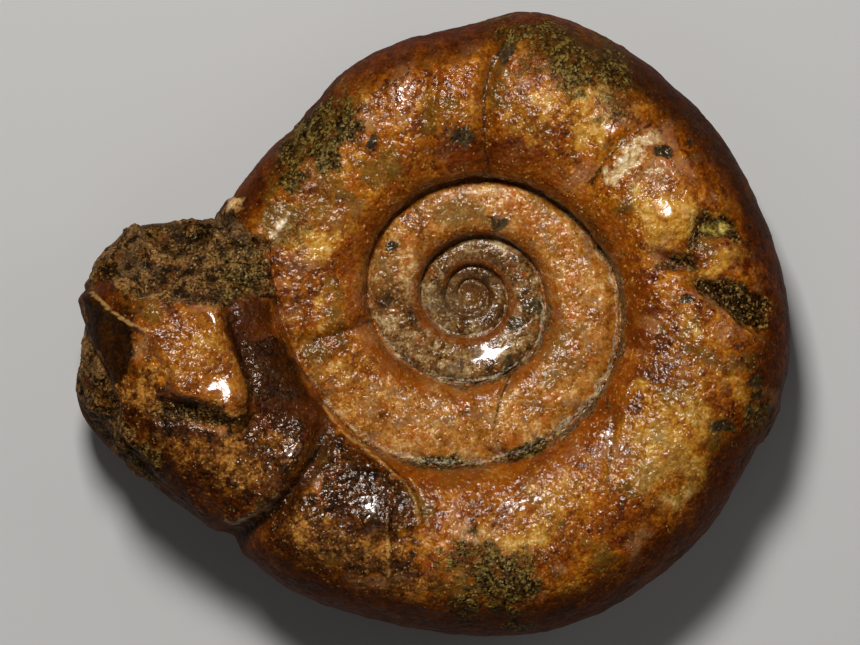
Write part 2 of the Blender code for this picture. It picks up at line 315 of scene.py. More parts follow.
def join_edge(meets, finer, coarser):
    """Notes that each vertex of the finer edge becomes the nearest one of the coarser edge."""
    scale = (len(coarser) - 1) / (len(finer) - 1)
    for i, vert in enumerate(finer):
        meets[vert] = coarser[int(round(i * scale))]


def lay_side(bm, meets, sizes, crests, side):
    """All turns of one flank, each seam joined to the turn inside it. Returns the grids, the last turn first."""
    grids = []
    for k, (steps, faces) in enumerate(sizes):
        turns = turns_from(LAST_TURN - 1 - k, steps)
        cover = along(COVERED_TO, turns)
        grids.append(lay(bm, side_grid(turns, (-1.0, cover), faces, crests, side)))
    for outer, inner in zip(grids, grids[1:]):
        join_edge(meets, outer[0], inner[-1])
        join_edge(meets, column(outer, 0), column(inner, -1))
    return grids


def lay_venter(bm, meets, upper, lower):
    """The outer side of the last whorl, upper half and lower half. Returns both grids."""
    turns = turns_from(LAST_TURN - 1, UPPER[0][0])
    top = lay(bm, side_grid(turns, (along(COVERED_TO, turns), 1.0), UPPER_VENTER, TOP_CREST, 1))
    turns = turns_from(LAST_TURN - 1, LOWER[0][0])
    low = lay(bm, side_grid(turns, (along(COVERED_TO, turns), 1.0), LOWER_VENTER, LOW_CREST, -1))
    join_edge(meets, column(top, 0), column(upper, -1))
    join_edge(meets, column(low, 0), column(lower, -1))
    join_edge(meets, column(top, -1), column(low, -1))
    return top, low


def lay_cap(bm, meets, upper, lower, top, low):
    """The broken end: rows from the last outline of the tube to the outer side of the whorl it breaks off from."""
    outline = upper[-1] + top[-1][1:] + low[-1][-2::-1] + lower[-1][-2::-1]
    foot = top[0] + low[0][-2::-1]
    near = np.array([v.co for v in outline])
    far = np.array([foot[int(round(i * (len(foot) - 1) / (len(outline) - 1)))].co for i in range(len(outline))])
    share = np.linspace(0, 1, CAP_ROWS + 1)[:, None, None]
    rows = lay(bm, near * (1 - share) + far * share)
    join_edge(meets, rows[0], outline)
    join_edge(meets, rows[-1], foot)
    for row in rows[1:-1]:
        meets[row[0]] = foot[0]
        meets[row[-1]] = foot[-1]


def weld(bm, meets):
    """Welds every noted pair, following chains of them to their end."""
    ends = {}
    for vert in meets:
        end = meets[vert]
        while end in meets:
            end = meets[end]
        if end != vert:
            ends[vert] = end
    bmesh.ops.weld_verts(bm, targetmap=ends)


def close_middle(bm):
    """Fills the egg shell in the middle of each side."""
    edges = [e for e in bm.edges if e.is_boundary]
    faces = bmesh.ops.holes_fill(bm, edges=edges, sides=0)["faces"]
    bmesh.ops.triangulate(bm, faces=faces, ngon_method="BEAUTY")


def bare_coil():
    """The closed coil before any relief, in millimetres round its own axis."""
    bm = bmesh.new()
    meets = {}
    upper = lay_side(bm, meets, UPPER, TOP_CREST, 1)
    lower = lay_side(bm, meets, LOWER, LOW_CREST, -1)
    top, low = lay_venter(bm, meets, upper[0], lower[0])
    lay_cap(bm, meets, upper[0], lower[0], top, low)
    weld(bm, meets)
    close_middle(bm)
    bmesh.ops.recalc_face_normals(bm, faces=bm.faces)
    return bm


coil = bare_coil()
open_edges = sum(e.is_boundary for e in coil.edges)
print("bare coil:", len(coil.verts), "vertices,", open_edges, "open edges")

# %% [markdown]
# ## Where a point lies on the shell
# Relief and colour both follow the shell: a seam fills with dirt, a rib fades towards the seam. So the script first
# needs, for any point seen from above, which whorl it lies on and how far it is from the seams on either side. The
# spiral's own formula answers that, with no need to store anything on the mesh.

# %% From a place in plan to a place on the shell
class Place:
    """Whorl (0 the last one), turn, and distances in millimetres to the seam inside and the edge outside."""

    def __init__(self, x, y):
        angle = -np.arctan2(y, x) / (2 * np.pi)
        last = np.where(angle < LAST_TURN - 1, angle + 1, angle)
        self.radius = np.hypot(x, y)
        self.whorl = sum((self.radius < seam_radius(last - k)).astype(float) for k in range(5))
        self.turn = last - self.whorl
        seam = seam_radius(self.turn)
        rim = rim_radius(self.turn)
        edge = np.where(self.whorl > 0, seam_radius(np.minimum(self.turn + 1, LAST_TURN)), rim)
        self.to_seam = self.radius - seam
        self.to_edge = edge - self.radius
        self.across = -1 + 2 * self.to_seam / (rim - seam)
        self.last = self.whorl < 0.5


def distance_to(x, y, line):
    """Distance in plan to a line of points, the signed distance (left of the line is positive), and the overrun."""
    best = np.full(x.shape, 1e9)
    signed = np.zeros(x.shape)
    over = np.zeros(x.shape)
    last = len(line) - 2
    for i, ((ax, ay), (bx, by)) in enumerate(zip(line, line[1:])):
        dx, dy = bx - ax, by - ay
        length = math.hypot(dx, dy)
        free = ((x - ax) * dx + (y - ay) * dy) / length
        held = np.clip(free, 0, length)
        away = np.hypot(x - ax - held * dx / length, y - ay - held * dy / length)
        side = (dx * (y - ay) - dy * (x - ax)) / length
        nearer = away < best
        best = np.where(nearer, away, best)
        signed = np.where(nearer, np.where(side < 0, -away, away), signed)
        past = (np.maximum(-free, 0) if i == 0 else 0) + (np.maximum(free - length, 0) if i == last else 0)
        over = np.where(nearer, past, over)
    return best, signed, over


def oval(x, y, middle, length, width, turned):
    """Squared distance from the middle of an oval, 1 on its edge."""
    a = math.radians(turned)
    u = ((x - middle[0]) * math.cos(a) + (y - middle[1]) * math.sin(a)) / length
    v = ((y - middle[1]) * math.cos(a) - (x - middle[0]) * math.sin(a)) / width
    return u * u + v * v


def smooth_share(value, low, high):
    s = np.clip((value - low) / (high - low), 0, 1)
    return s * s * (3 - 2 * s)


# %% [markdown]
# ## The main relief
# These are the furrows, swellings and pits that the solid has too. A growing ammonite paused now and then and left
# a furrow across the whorl; others are dents from the rock. Each is a formula of the place in plan: a furrow is a
# bell curve of the distance to a line, a swelling a bell over an oval.

# %% Furrows, swellings and pits of the solid
FURROWS = [
    ([(1.0, 5.9), (0.75, 7.15), (0.65, 9.65), (1.0, 11.15), (1.75, 12.9)], 0.45, 0.34),
    ([(-2.1, 6.15), (-2.25, 8.65), (-2.25, 10.65), (-2.0, 12.6)], 0.40, 0.14),
    ([(6.0, 5.4), (6.75, 6.65), (7.75, 7.65), (9.0, 8.4)], 0.35, 0.22),
    ([(6.75, -5.1), (7.0, -6.85), (6.9, -9.35)], 0.35, 0.16),
    ([(-7.4, -7.1), (-7.6, -7.85), (-8.5, -9.1), (-9.25, -10.35), (-10.25, -11.35), (-12.4, -12.6)], 0.55, 0.75),
    ([(-12.1, -1.1), (-11.5, -2.85), (-10.9, -4.85), (-11.1, -6.35)], 0.45, 0.40),
    ([(11.0, 0.6), (12.4, -0.2), (13.6, -0.9), (14.6, -1.9)], 0.40, 0.50),
    ([(9.2, 1.9), (10.1, 1.5), (11.0, 1.3)], 0.35, 0.30),
]
INNER_FURROWS = [
    ([(-5.2, -1.4), (-6.0, -1.85), (-7.75, -2.35), (-8.8, -2.6)], 0.35, 0.26),
    ([(0.5, -5.6), (0.65, -7.35)], 0.30, 0.12),
    ([(2.1, -4.2), (1.5, -5.35), (1.25, -7.35)], 0.22, 0.10),
]
SWELLINGS = [
    ((-0.7, 9.4), 2.2, 1.4, 90, 0.16),
    ((4.2, 8.9), 2.6, 1.9, 70, 0.24),
    ((9.6, 4.2), 2.2, 1.6, 40, 0.22),
    ((7.6, 7.6), 1.9, 0.8, 48, 0.14),
    ((12.25, 3.35), 1.0, 0.7, 10, -0.45),
    ((-13.65, -3.35), 2.3, 2.4, 0, 0.45),
    ((-13.0, -8.2), 3.6, 1.3, 35, 0.25),
    ((-18.4, -5.6), 1.6, 3.0, 0, -0.6),
    ((-16.3, 1.6), 2.6, 1.4, 0, -0.5),
    ((-5.0, -10.5), 2.6, 1.6, -60, 0.16),
    ((6.0, -9.6), 2.6, 2.0, -40, 0.15),
    ((11.0, -6.0), 2.4, 1.8, -65, 0.15),
]


def furrows_at(x, y, furrows):
    """Depth of these furrows."""
    return sum(depth * np.exp(-((distance_to(x, y, line)[0] / width) ** 2)) for line, width, depth in furrows)


def swellings_at(x, y, swellings, power):
    """Height of these swellings. A higher power makes a flatter top with steeper sides."""
    return sum(high * np.exp(-(oval(x, y, middle, length, width, turned) ** power))
               for middle, length, width, turned, high in swellings)


def main_relief(x, y, place):
    """The relief of the solid, faded at the seams."""
    outer = swellings_at(x, y, SWELLINGS, 1.3) - furrows_at(x, y, FURROWS)
    inner = -furrows_at(x, y, INNER_FURROWS)
    cover = along(COVERED_TO, place.turn)
    seams = np.clip((place.across + 1) / 0.15, 0, 1)
    seams = seams * np.where(place.last, 1, np.clip((cover - place.across) / 0.15, 0, 1))
    return np.where(place.last, outer, inner) * seams


# %% [markdown]
# ## The fine relief
# Shell breaks off in thin layers, and each layer ends in a small step that catches the light. A ledge is such a
# step: high on one side of a line, and sloping back to nothing a few millimetres behind it. Thin ridges are veins
# that stand out because they are harder, and pits are holes with steep sides where a grain has fallen out.

# %% Shell edges, veins and steep pits
LEDGES = [
    # line with the high side on its left, width of the step, height, how far back it reaches
    ([(9.0, 8.4), (7.75, 7.65), (6.75, 6.65), (6.0, 5.4)], 0.10, 0.20, 1.6),
    ([(-11.25, -6.6), (-10.9, -5.95), (-11.0, -4.6), (-11.6, -2.6), (-12.25, -0.75)], 0.16, 0.60, 2.0),
    ([(-14.9, -4.95), (-13.5, -5.6), (-11.25, -6.45)], 0.18, 0.55, 1.8),
    ([(-16.0, -2.1), (-15.5, -2.85), (-14.9, -3.95), (-14.35, -5.35)], 0.16, 0.42, 1.4),
    ([(-11.5, -11.35), (-10.4, -10.95), (-8.5, -9.35), (-7.25, -7.35)], 0.14, 0.36, 1.0),
    ([(-19.1, -0.35), (-18.65, -2.6), (-17.75, -4.6), (-17.25, -6.85), (-15.5, -8.6)], 0.18, 0.55, 1.2),
    ([(-12.1, -0.95), (-12.75, -0.65), (-16.0, -0.85), (-16.75, -1.45), (-18.75, -0.1)], 0.20, 0.28, 1.4),
    ([(-2.5, -11.35), (-2.75, -10.1), (-4.75, -8.1), (-6.25, -6.85), (-7.5, -5.35)], 0.08, 0.14, 2.0),
    ([(9.0, 5.0), (7.25, 4.4)], 0.07, 0.08, 0.8),
    ([(13.2, -1.8), (12.3, -1.0), (11.3, 0.1)], 0.10, 0.16, 1.0),
    ([(1.3, -7.4), (1.55, -5.4), (1.75, -3.85)], 0.08, 0.10, 1.2),
    ([(-8.8, -2.75), (-7.75, -2.5), (-6.0, -2.0), (-5.1, -1.5)], 0.10, 0.12, 1.6),
]
VEINS = [
    # line, half width, height
    ([(-18.85, 0.05), (-18.0, -0.75), (-16.75, -1.6), (-15.9, -1.85)], 0.14, 0.16),
    ([(-14.75, -7.85), (-14.0, -9.6), (-13.25, -11.1)], 0.13, 0.10),
    ([(-14.05, -8.1), (-12.9, -10.2), (-11.65, -11.85)], 0.10, 0.08),
    ([(-13.45, -8.1), (-12.7, -9.9), (-12.05, -11.25)], 0.09, 0.06),
    ([(-12.55, -8.1), (-12.1, -9.35), (-11.85, -10.85)], 0.10, 0.08),
    ([(-4.1, -10.9), (-4.0, -14.1)], 0.12, 0.11),
    ([(6.75, -5.1), (7.0, -6.85), (6.9, -9.35)], 0.10, 0.10),
    ([(7.25, 4.4), (9.0, 5.0)], 0.07, 0.06),
    ([(-7.3, -5.6), (-6.3, -6.9), (-4.9, -8.0), (-3.4, -9.3), (-2.7, -10.3), (-2.5, -11.4)], 0.12, 0.13),
]
BOSSES = [
    # middle, half length, half width, turned, height: each leans one side of itself towards the key light
    ((1.42, -3.52), 0.7, 1.3, -60, 0.15),
    ((-11.84, -5.44), 1.0, 1.4, -55, 0.46),
    ((-12.2, -1.54), 0.8, 1.0, -19, 0.25),
    ((10.1, 3.45), 0.9, 1.1, -63, 0.18),
    ((7.06, 8.2), 0.9, 1.1, -38, 0.21),
    ((-8.72, -8.49), 0.8, 1.0, -55, 0.36),
    ((-4.79, -11.45), 0.8, 0.9, -71, 0.16),
]
STEEP_PITS = [
    # middle, half length, half width, turned, height
    ((14.25, -4.35), 0.35, 0.25, 0, -0.16),
    ((10.75, -0.35), 0.30, 0.22, 20, -0.14),
    ((9.55, 7.0), 0.40, 0.28, 10, -0.16),
    ((14.4, -5.6), 0.16, 0.16, 0, -0.18),
    ((13.9, -5.5), 0.14, 0.14, 0, -0.16),
    ((14.7, -5.3), 0.13, 0.13, 0, -0.16),
    ((-15.9, 0.3), 1.1, 0.45, 8, -0.45),
    ((2.3, -1.35), 0.5, 0.4, 30, -0.16),
    ((14.4, -6.2), 1.2, 1.3, 0, 0.22),
    ((-11.9, 4.15), 0.6, 0.5, 40, 0.25),
]
LEDGE_END = 0.35
CRACKS = [
    # line, half width, strength
    ([(-12.25, -8.85), (-12.05, -10.9)], 0.06, 0.7),
    ([(-15.25, -6.45), (-13.65, -6.2), (-12.5, -6.55), (-11.25, -6.1)], 0.10, 0.9),
    ([(2.1, -3.85), (1.5, -5.35), (1.0, -7.35)], 0.06, 1.0),
    ([(-4.9, -1.35), (-6.0, -1.85), (-7.75, -2.35)], 0.07, 0.8),
    ([(6.0, 5.4), (6.75, 6.65), (7.75, 7.65), (9.0, 8.4)], 0.09, 1.0),
    ([(1.0, 5.9), (0.75, 7.15), (0.65, 9.65), (1.0, 11.15), (1.75, 12.6)], 0.10, 0.8),
    ([(6.75, -5.1), (7.0, -6.85), (6.9, -9.35)], 0.08, 0.7),
    ([(-7.4, -7.1), (-7.6, -7.85), (-8.5, -9.1), (-9.25, -10.35), (-10.25, -11.35), (-12.4, -12.6)], 0.16, 0.9),
    ([(-11.1, -6.35), (-10.9, -4.85), (-11.5, -2.85), (-12.1, -1.1)], 0.14, 0.8),
    ([(-2.35, -11.2), (-2.6, -10.0), (-4.6, -7.95), (-6.1, -6.7), (-7.35, -5.2)], 0.07, 0.8),
    ([(-12.4, -9.2), (-10.4, -8.4), (-8.8, -8.2)], 0.05, 0.5),
    ([(-6.6, -9.6), (-5.2, -10.6), (-4.6, -12.2)], 0.05, 0.5),
    ([(-3.2, 8.9), (-2.3, 10.4), (-2.1, 12.4)], 0.06, 0.5),
    ([(9.6, -3.9), (11.2, -4.6), (12.6, -4.6)], 0.05, 0.5),
]
CRACK_WOBBLE = 0.10


def cracks_at(x, y, shift):
    """Strength of the fine cracks from 0 to 1, each one wandering a little from its line."""
    return np.max([strong * np.exp(-(((distance_to(x, y, line)[0] + shift) / width) ** 2))
                   for line, width, strong in CRACKS], axis=0)


def ledges_at(x, y, ledges):
    """Height of these steps."""
    total = np.zeros(x.shape)
    for line, width, high, reach in ledges:
        _, signed, over = distance_to(x, y, line)
        step = 0.5 * (1 + np.tanh(signed / width))
        fade = np.exp(-np.maximum(signed, 0) / reach - (over / LEDGE_END) ** 2)
        total += high * step * fade
    return total


print(len(LEDGES), "ledges,", len(VEINS), "veins,", len(STEEP_PITS), "steep pits")

# %% [markdown]
# ## Ribs and the seam
# This ammonite is nearly smooth, with weak ribs on the flank that bend forward. Each seam has its own small form:
# the whorl outside ends in a thin edge, and a narrow gutter beside it holds dirt. Both are formulas of the turn and
# of the distance to the seam, so they follow the spiral by themselves.

# %% Ribs, seam gutter, and lumpy stone
RIBS_PER_TURN = 46
RIB_BEND = 0.012
RIB_HEIGHT = 0.004
GUTTER_WIDTH = 0.11
GUTTER_DEPTH = 0.08
LIP_OUT = 0.30
LIP_WIDTH = 0.16
LIP_HEIGHT = 0.02
RIB_WEAR_SIZE = 3.0
FULL_SIZE_AT = 5.5
LEAST_SIZE = 0.35
SEAM_WOBBLE = 0.20
SEAM_WOBBLE_SIZE = 0.6
CRUMBLE_SIZE = 1.6


def lumps(points, size, octaves, shift):
    """Cloudy noise from about -1 to 1, with lumps of this size in millimetres."""
    offset = Vector((shift, shift * 0.7, -shift))
    return np.array([noise.fractal(Vector(p) / size + offset, 0.9, 2.1, octaves) for p in points])


def fineness(place):
    """The size of small features, 1 on the outer whorls and less towards the middle."""
    return np.clip(place.radius / FULL_SIZE_AT, LEAST_SIZE, 1.0)


def ribs_at(points, place):
    phase = place.turn - RIB_BEND * np.maximum(place.across, 0) ** 2
    flank = smooth_share(place.to_seam, 0.2, 1.2) * smooth_share(place.to_edge, 0.2, 1.2)
    worn = np.clip(0.5 + lumps(points, RIB_WEAR_SIZE, 1, 29.0), 0, 1)
    return RIB_HEIGHT * np.cos(2 * np.pi * RIBS_PER_TURN * phase) * flank * worn * fineness(place)


def seam_distance(points, place):
    """Distance to the nearest seam, on which side, and how crumbled the seam is there from 0 to 1."""
    wobble = SEAM_WOBBLE * lumps(points, SEAM_WOBBLE_SIZE, 2, 37.0) * fineness(place)
    inside = place.to_seam + wobble
    outside = np.where(place.last, 9.0, place.to_edge + wobble)
    crumbled = np.clip(0.5 + 0.9 * lumps(points, CRUMBLE_SIZE, 2, 43.0), 0, 1)
    return inside, outside, crumbled


def seam_form(points, place):
    """The gutter on each seam, and the thin lip of the whorl inside it."""
    size = fineness(place)
    inside, outside, crumbled = seam_distance(points, place)
    nearest = np.minimum(np.abs(inside), np.abs(outside))
    gutter = -GUTTER_DEPTH * (0.4 + crumbled) * np.exp(-((nearest / (GUTTER_WIDTH * (0.6 + crumbled))) ** 2))
    lip = LIP_HEIGHT * np.exp(-(((outside - LIP_OUT * size) / LIP_WIDTH) ** 2))
    return (gutter + lip) * size


# %% [markdown]
# ## Where each kind of surface shows
# Five kinds of surface cover the fossil. Sand from the sea floor is baked on in olive patches, the broken end and the
# far left show raw rock, thick dark shell is left near the broken end, pale calcite shows where the shell has flaked,
# and the rest is the orange stone cast. The real patches have no rule, so each is a few listed ovals, and noise in
# the material frays their edges. The same masks make sand and rock rougher in the mesh.

# %% Patches of sand, rock, shell and colour
PATCHES = {
    "sand": [
        ((3.0, 12.9), 2.6, 0.8, -10, 0.7),
        ((-7.6, 7.6), 2.7, 1.5, 45, 1.0),
        ((5.4, 11.0), 3.2, 1.5, -22, 0.75),
        ((7.2, 9.3), 1.6, 0.8, -35, 0.6),
        ((2.4, -13.2), 2.0, 1.2, 30, 0.7),
        ((1.4, -14.4), 2.4, 1.9, 0, 0.95),
        ((6.45, 2.9), 1.6, 0.40, -58, 0.45),
        ((2.9, -7.75), 1.3, 0.4, 22, 1.0),
        ((-1.6, -8.4), 2.0, 0.4, -3, 0.8),
        ((-16.0, -8.3), 1.3, 0.8, -40, 0.7),
        ((-8.6, 3.4), 1.5, 1.2, 60, 0.5),
        ((14.2, -6.4), 1.0, 1.0, 0, 0.6),
    ],
    "rock": [
        ((-16.4, -8.8), 1.6, 0.7, -45, 0.6),
    ],
    "dark_shell_and_shade": [
        ((-4.9, -9.8), 2.2, 1.0, -65, 0.6),
        ((-14.4, -6.6), 2.4, 0.7, -10, 0.7),
        ((-8.9, -8.3), 1.6, 0.9, 55, 0.6),
    ],
    "dull": [
        ((-0.6, 3.9), 1.5, 0.9, 0, 0.9),
        ((4.8, -3.2), 1.0, 1.6, -20, 0.9),
        ((-4.4, 0.6), 0.7, 1.6, 0, 0.7),
        ((-2.6, 4.6), 1.0, 0.7, 30, 0.6),
        ((3.6, 4.4), 1.2, 0.6, -40, 0.5),
        ((-6.4, 4.6), 1.2, 2.2, 30, 0.6),
        ((5.9, 11.9), 2.6, 0.9, -20, 0.6),
        ((9.8, -8.6), 1.4, 2.4, 40, 0.6),
    ],
    "brown": [
        ((-13.5, -8.2), 4.6, 3.4, -25, 1.0),
        ((-16.6, -5.6), 2.0, 2.4, 0, 0.9),
        ((-10.2, -8.0), 2.2, 2.0, 0, 0.8),
        ((-8.2, -11.2), 4.0, 2.2, -38, 0.8),
        ((-4.4, -13.2), 3.2, 1.6, -14, 0.8),
        ((-17.6, -1.4), 1.6, 1.6, 0, 0.8),
        ((-12.8, 0.0), 3.6, 0.9, 0, 0.5),
    ],
    "polished": [
        ((1.0, -3.1), 1.5, 0.45, -4, 1.0),
        ((-12.2, -4.85), 1.1, 0.85, 0, 1.0),
        ((-12.75, -1.35), 0.8, 0.4, 0, 1.0),
        ((-9.0, -8.1), 0.9, 0.5, 30, 1.0),
        ((-9.0, -9.2), 0.6, 0.3, 30, 0.9),
        ((9.75, 4.15), 0.9, 0.6, 20, 1.0),
        ((6.5, 8.6), 0.9, 0.8, 40, 0.8),
        ((-5.0, -10.85), 0.5, 0.9, -20, 0.9),
        ((-3.2, 9.6), 0.5, 1.2, 10, 0.6),
        ((7.0, -6.9), 0.35, 1.6, 0, 0.7),
        ((2.8, -10.4), 1.2, 0.5, 10, 0.6),
        ((-7.2, 2.4), 1.0, 0.4, 0, 0.5),
    ],
    "pale": [
        # painted highlight: this pale spot on the inner whorl stands for a silvery glint
        ((3.3, 0.4), 0.5, 1.2, 0, 0.5),
        ((8.9, 6.0), 1.2, 0.5, 30, 0.5),
        ((-11.9, 4.2), 0.6, 0.5, 40, 0.9),
        ((-9.7, 3.0), 1.6, 0.45, 68, 0.6),
        ((-0.2, -12.4), 2.6, 1.0, -10, 0.4),
        ((-14.9, -2.9), 0.5, 0.9, 10, 0.35),
    ],
    "golden": [
        ((14.3, -5.4), 1.2, 1.2, 0, 1.0),
        ((2.5, -12.0), 2.6, 1.4, 10, 0.7),
        ((10.8, -8.9), 2.2, 1.6, 50, 0.7),
        ((3.0, 8.7), 1.8, 1.6, 0, 0.6),
        ((5.8, 8.7), 1.7, 1.2, 80, 0.9),
        ((9.6, 4.0), 1.9, 1.5, 30, 0.8),
        ((12.2, 1.5), 1.6, 0.7, 0, 0.7),
        ((3.5, -10.3), 3.4, 2.0, 20, 0.45),
        ((9.8, -7.2), 3.2, 2.2, -50, 0.9),
        ((-12.9, -4.6), 1.0, 0.8, 0, 0.9),
        ((-13.2, -1.4), 0.9, 0.5, 0, 0.7),
        ((-7.3, 2.4), 2.0, 1.2, 0, 0.7),
        ((-8.0, -1.6), 1.2, 2.2, 20, 0.5),
        ((-5.0, 9.8), 1.6, 1.0, 20, 0.4),
        ((5.2, 13.0), 1.2, 0.5, -15, 0.8),
        ((10.5, -2.4), 2.0, 1.0, 10, 0.5),
        ((-5.6, -4.4), 1.8, 1.2, -50, 0.6),
        ((-2.0, -6.2), 2.4, 0.8, -5, 0.6),
        ((5.6, -0.6), 0.8, 1.6, 0, 0.7),
        ((2.8, 2.6), 1.5, 0.6, -40, 0.6),
        ((4.4, -5.2), 1.4, 0.9, 40, 0.6),
    ],
    "red": [
        ((0.5, 6.9), 4.2, 0.8, 0, 0.7),
        ((8.5, -1.6), 1.0, 2.6, 10, 0.7),
        ((8.9, -4.0), 1.8, 0.7, 20, 0.7),
        ((-2.0, 13.2), 3.4, 0.9, 12, 0.8),
        ((11.0, 9.5), 4.0, 0.9, -50, 0.9),
        ((15.3, 0.0), 0.8, 5.0, 0, 0.9),
        ((12.0, -9.5), 2.8, 1.2, 40, 0.6),
        ((-3.4, 10.2), 0.7, 2.4, 0, 0.6),
        ((8.0, -11.2), 2.2, 1.0, 30, 0.6),
        ((-2.2, 8.2), 0.6, 2.4, 0, 0.5),
        ((-9.2, 0.3), 1.0, 2.5, 10, 0.6),
        ((-11.6, -2.0), 0.7, 1.6, 15, 0.8),
        ((4.6, 2.8), 1.2, 0.8, 30, 0.5),
    ],
    "grey": [
        ((-0.3, 7.7), 0.9, 0.6, -20, 0.7),
        ((1.2, 3.7), 1.0, 0.7, 0, 0.6),
        ((1.8, 12.1), 0.75, 0.33, 65, 1.0),
        ((-3.8, 2.3), 0.5, 0.35, 0, 0.8),
        ((5.3, -4.3), 1.2, 0.6, 50, 0.3),
        ((3.1, -0.8), 0.5, 0.4, 0, 0.7),
        ((14.25, -4.35), 0.4, 0.3, 0, 1.0),
        ((14.35, -5.1), 0.34, 0.28, 0, 1.0),
        ((13.9, -5.8), 0.32, 0.24, 0, 1.0),
        ((14.8, -5.7), 0.30, 0.22, 0, 1.0),
        ((12.4, -6.6), 0.8, 0.32, -15, 0.8),
        ((10.9, 7.5), 0.25, 0.2, 0, 0.8),
        ((9.55, 7.0), 0.45, 0.3, 0, 1.0),
        ((10.75, -0.35), 0.42, 0.26, 25, 1.0),
        ((2.4, -1.4), 0.6, 0.5, 30, 0.7),
        ((-4.2, -0.3), 0.6, 1.0, 0, 0.4),
        ((-4.9, 7.4), 0.6, 0.3, 60, 0.7),
        ((1.9, -3.6), 0.6, 0.25, 60, 0.9),
    ],
}


RAGGED = [(1.5, 0.75), (0.5, 0.45)]  # size of the noise in millimetres, and its reach in widths of the patch


def strays(points):
    """How far noise pushes each point sideways, for a patch one millimetre wide."""
    return [sum(reach * lumps(points, size, 2, shift) for size, reach in RAGGED) for shift in (11.0, 17.0)]


def patch_at(x, y, stray, spots):
    """Strength of a patch from 0 to 1: the strongest of its ovals, each one as ragged as it is wide."""
    return np.max([
        strong * np.exp(-(oval(x + stray[0] * width, y + stray[1] * width, middle, length, width, turned) ** 1.5))
        for middle, length, width, turned, strong in spots], axis=0)


# %% [markdown]
# ## Plates with a sharp edge
# Near the broken end the shell has split into plates, and a plate has corners. An oval can't give those, so each
# plate is a short outline of points. Inside it the mask is 1, and across the edge it falls to 0 over a fifth of a
# millimetre or so.

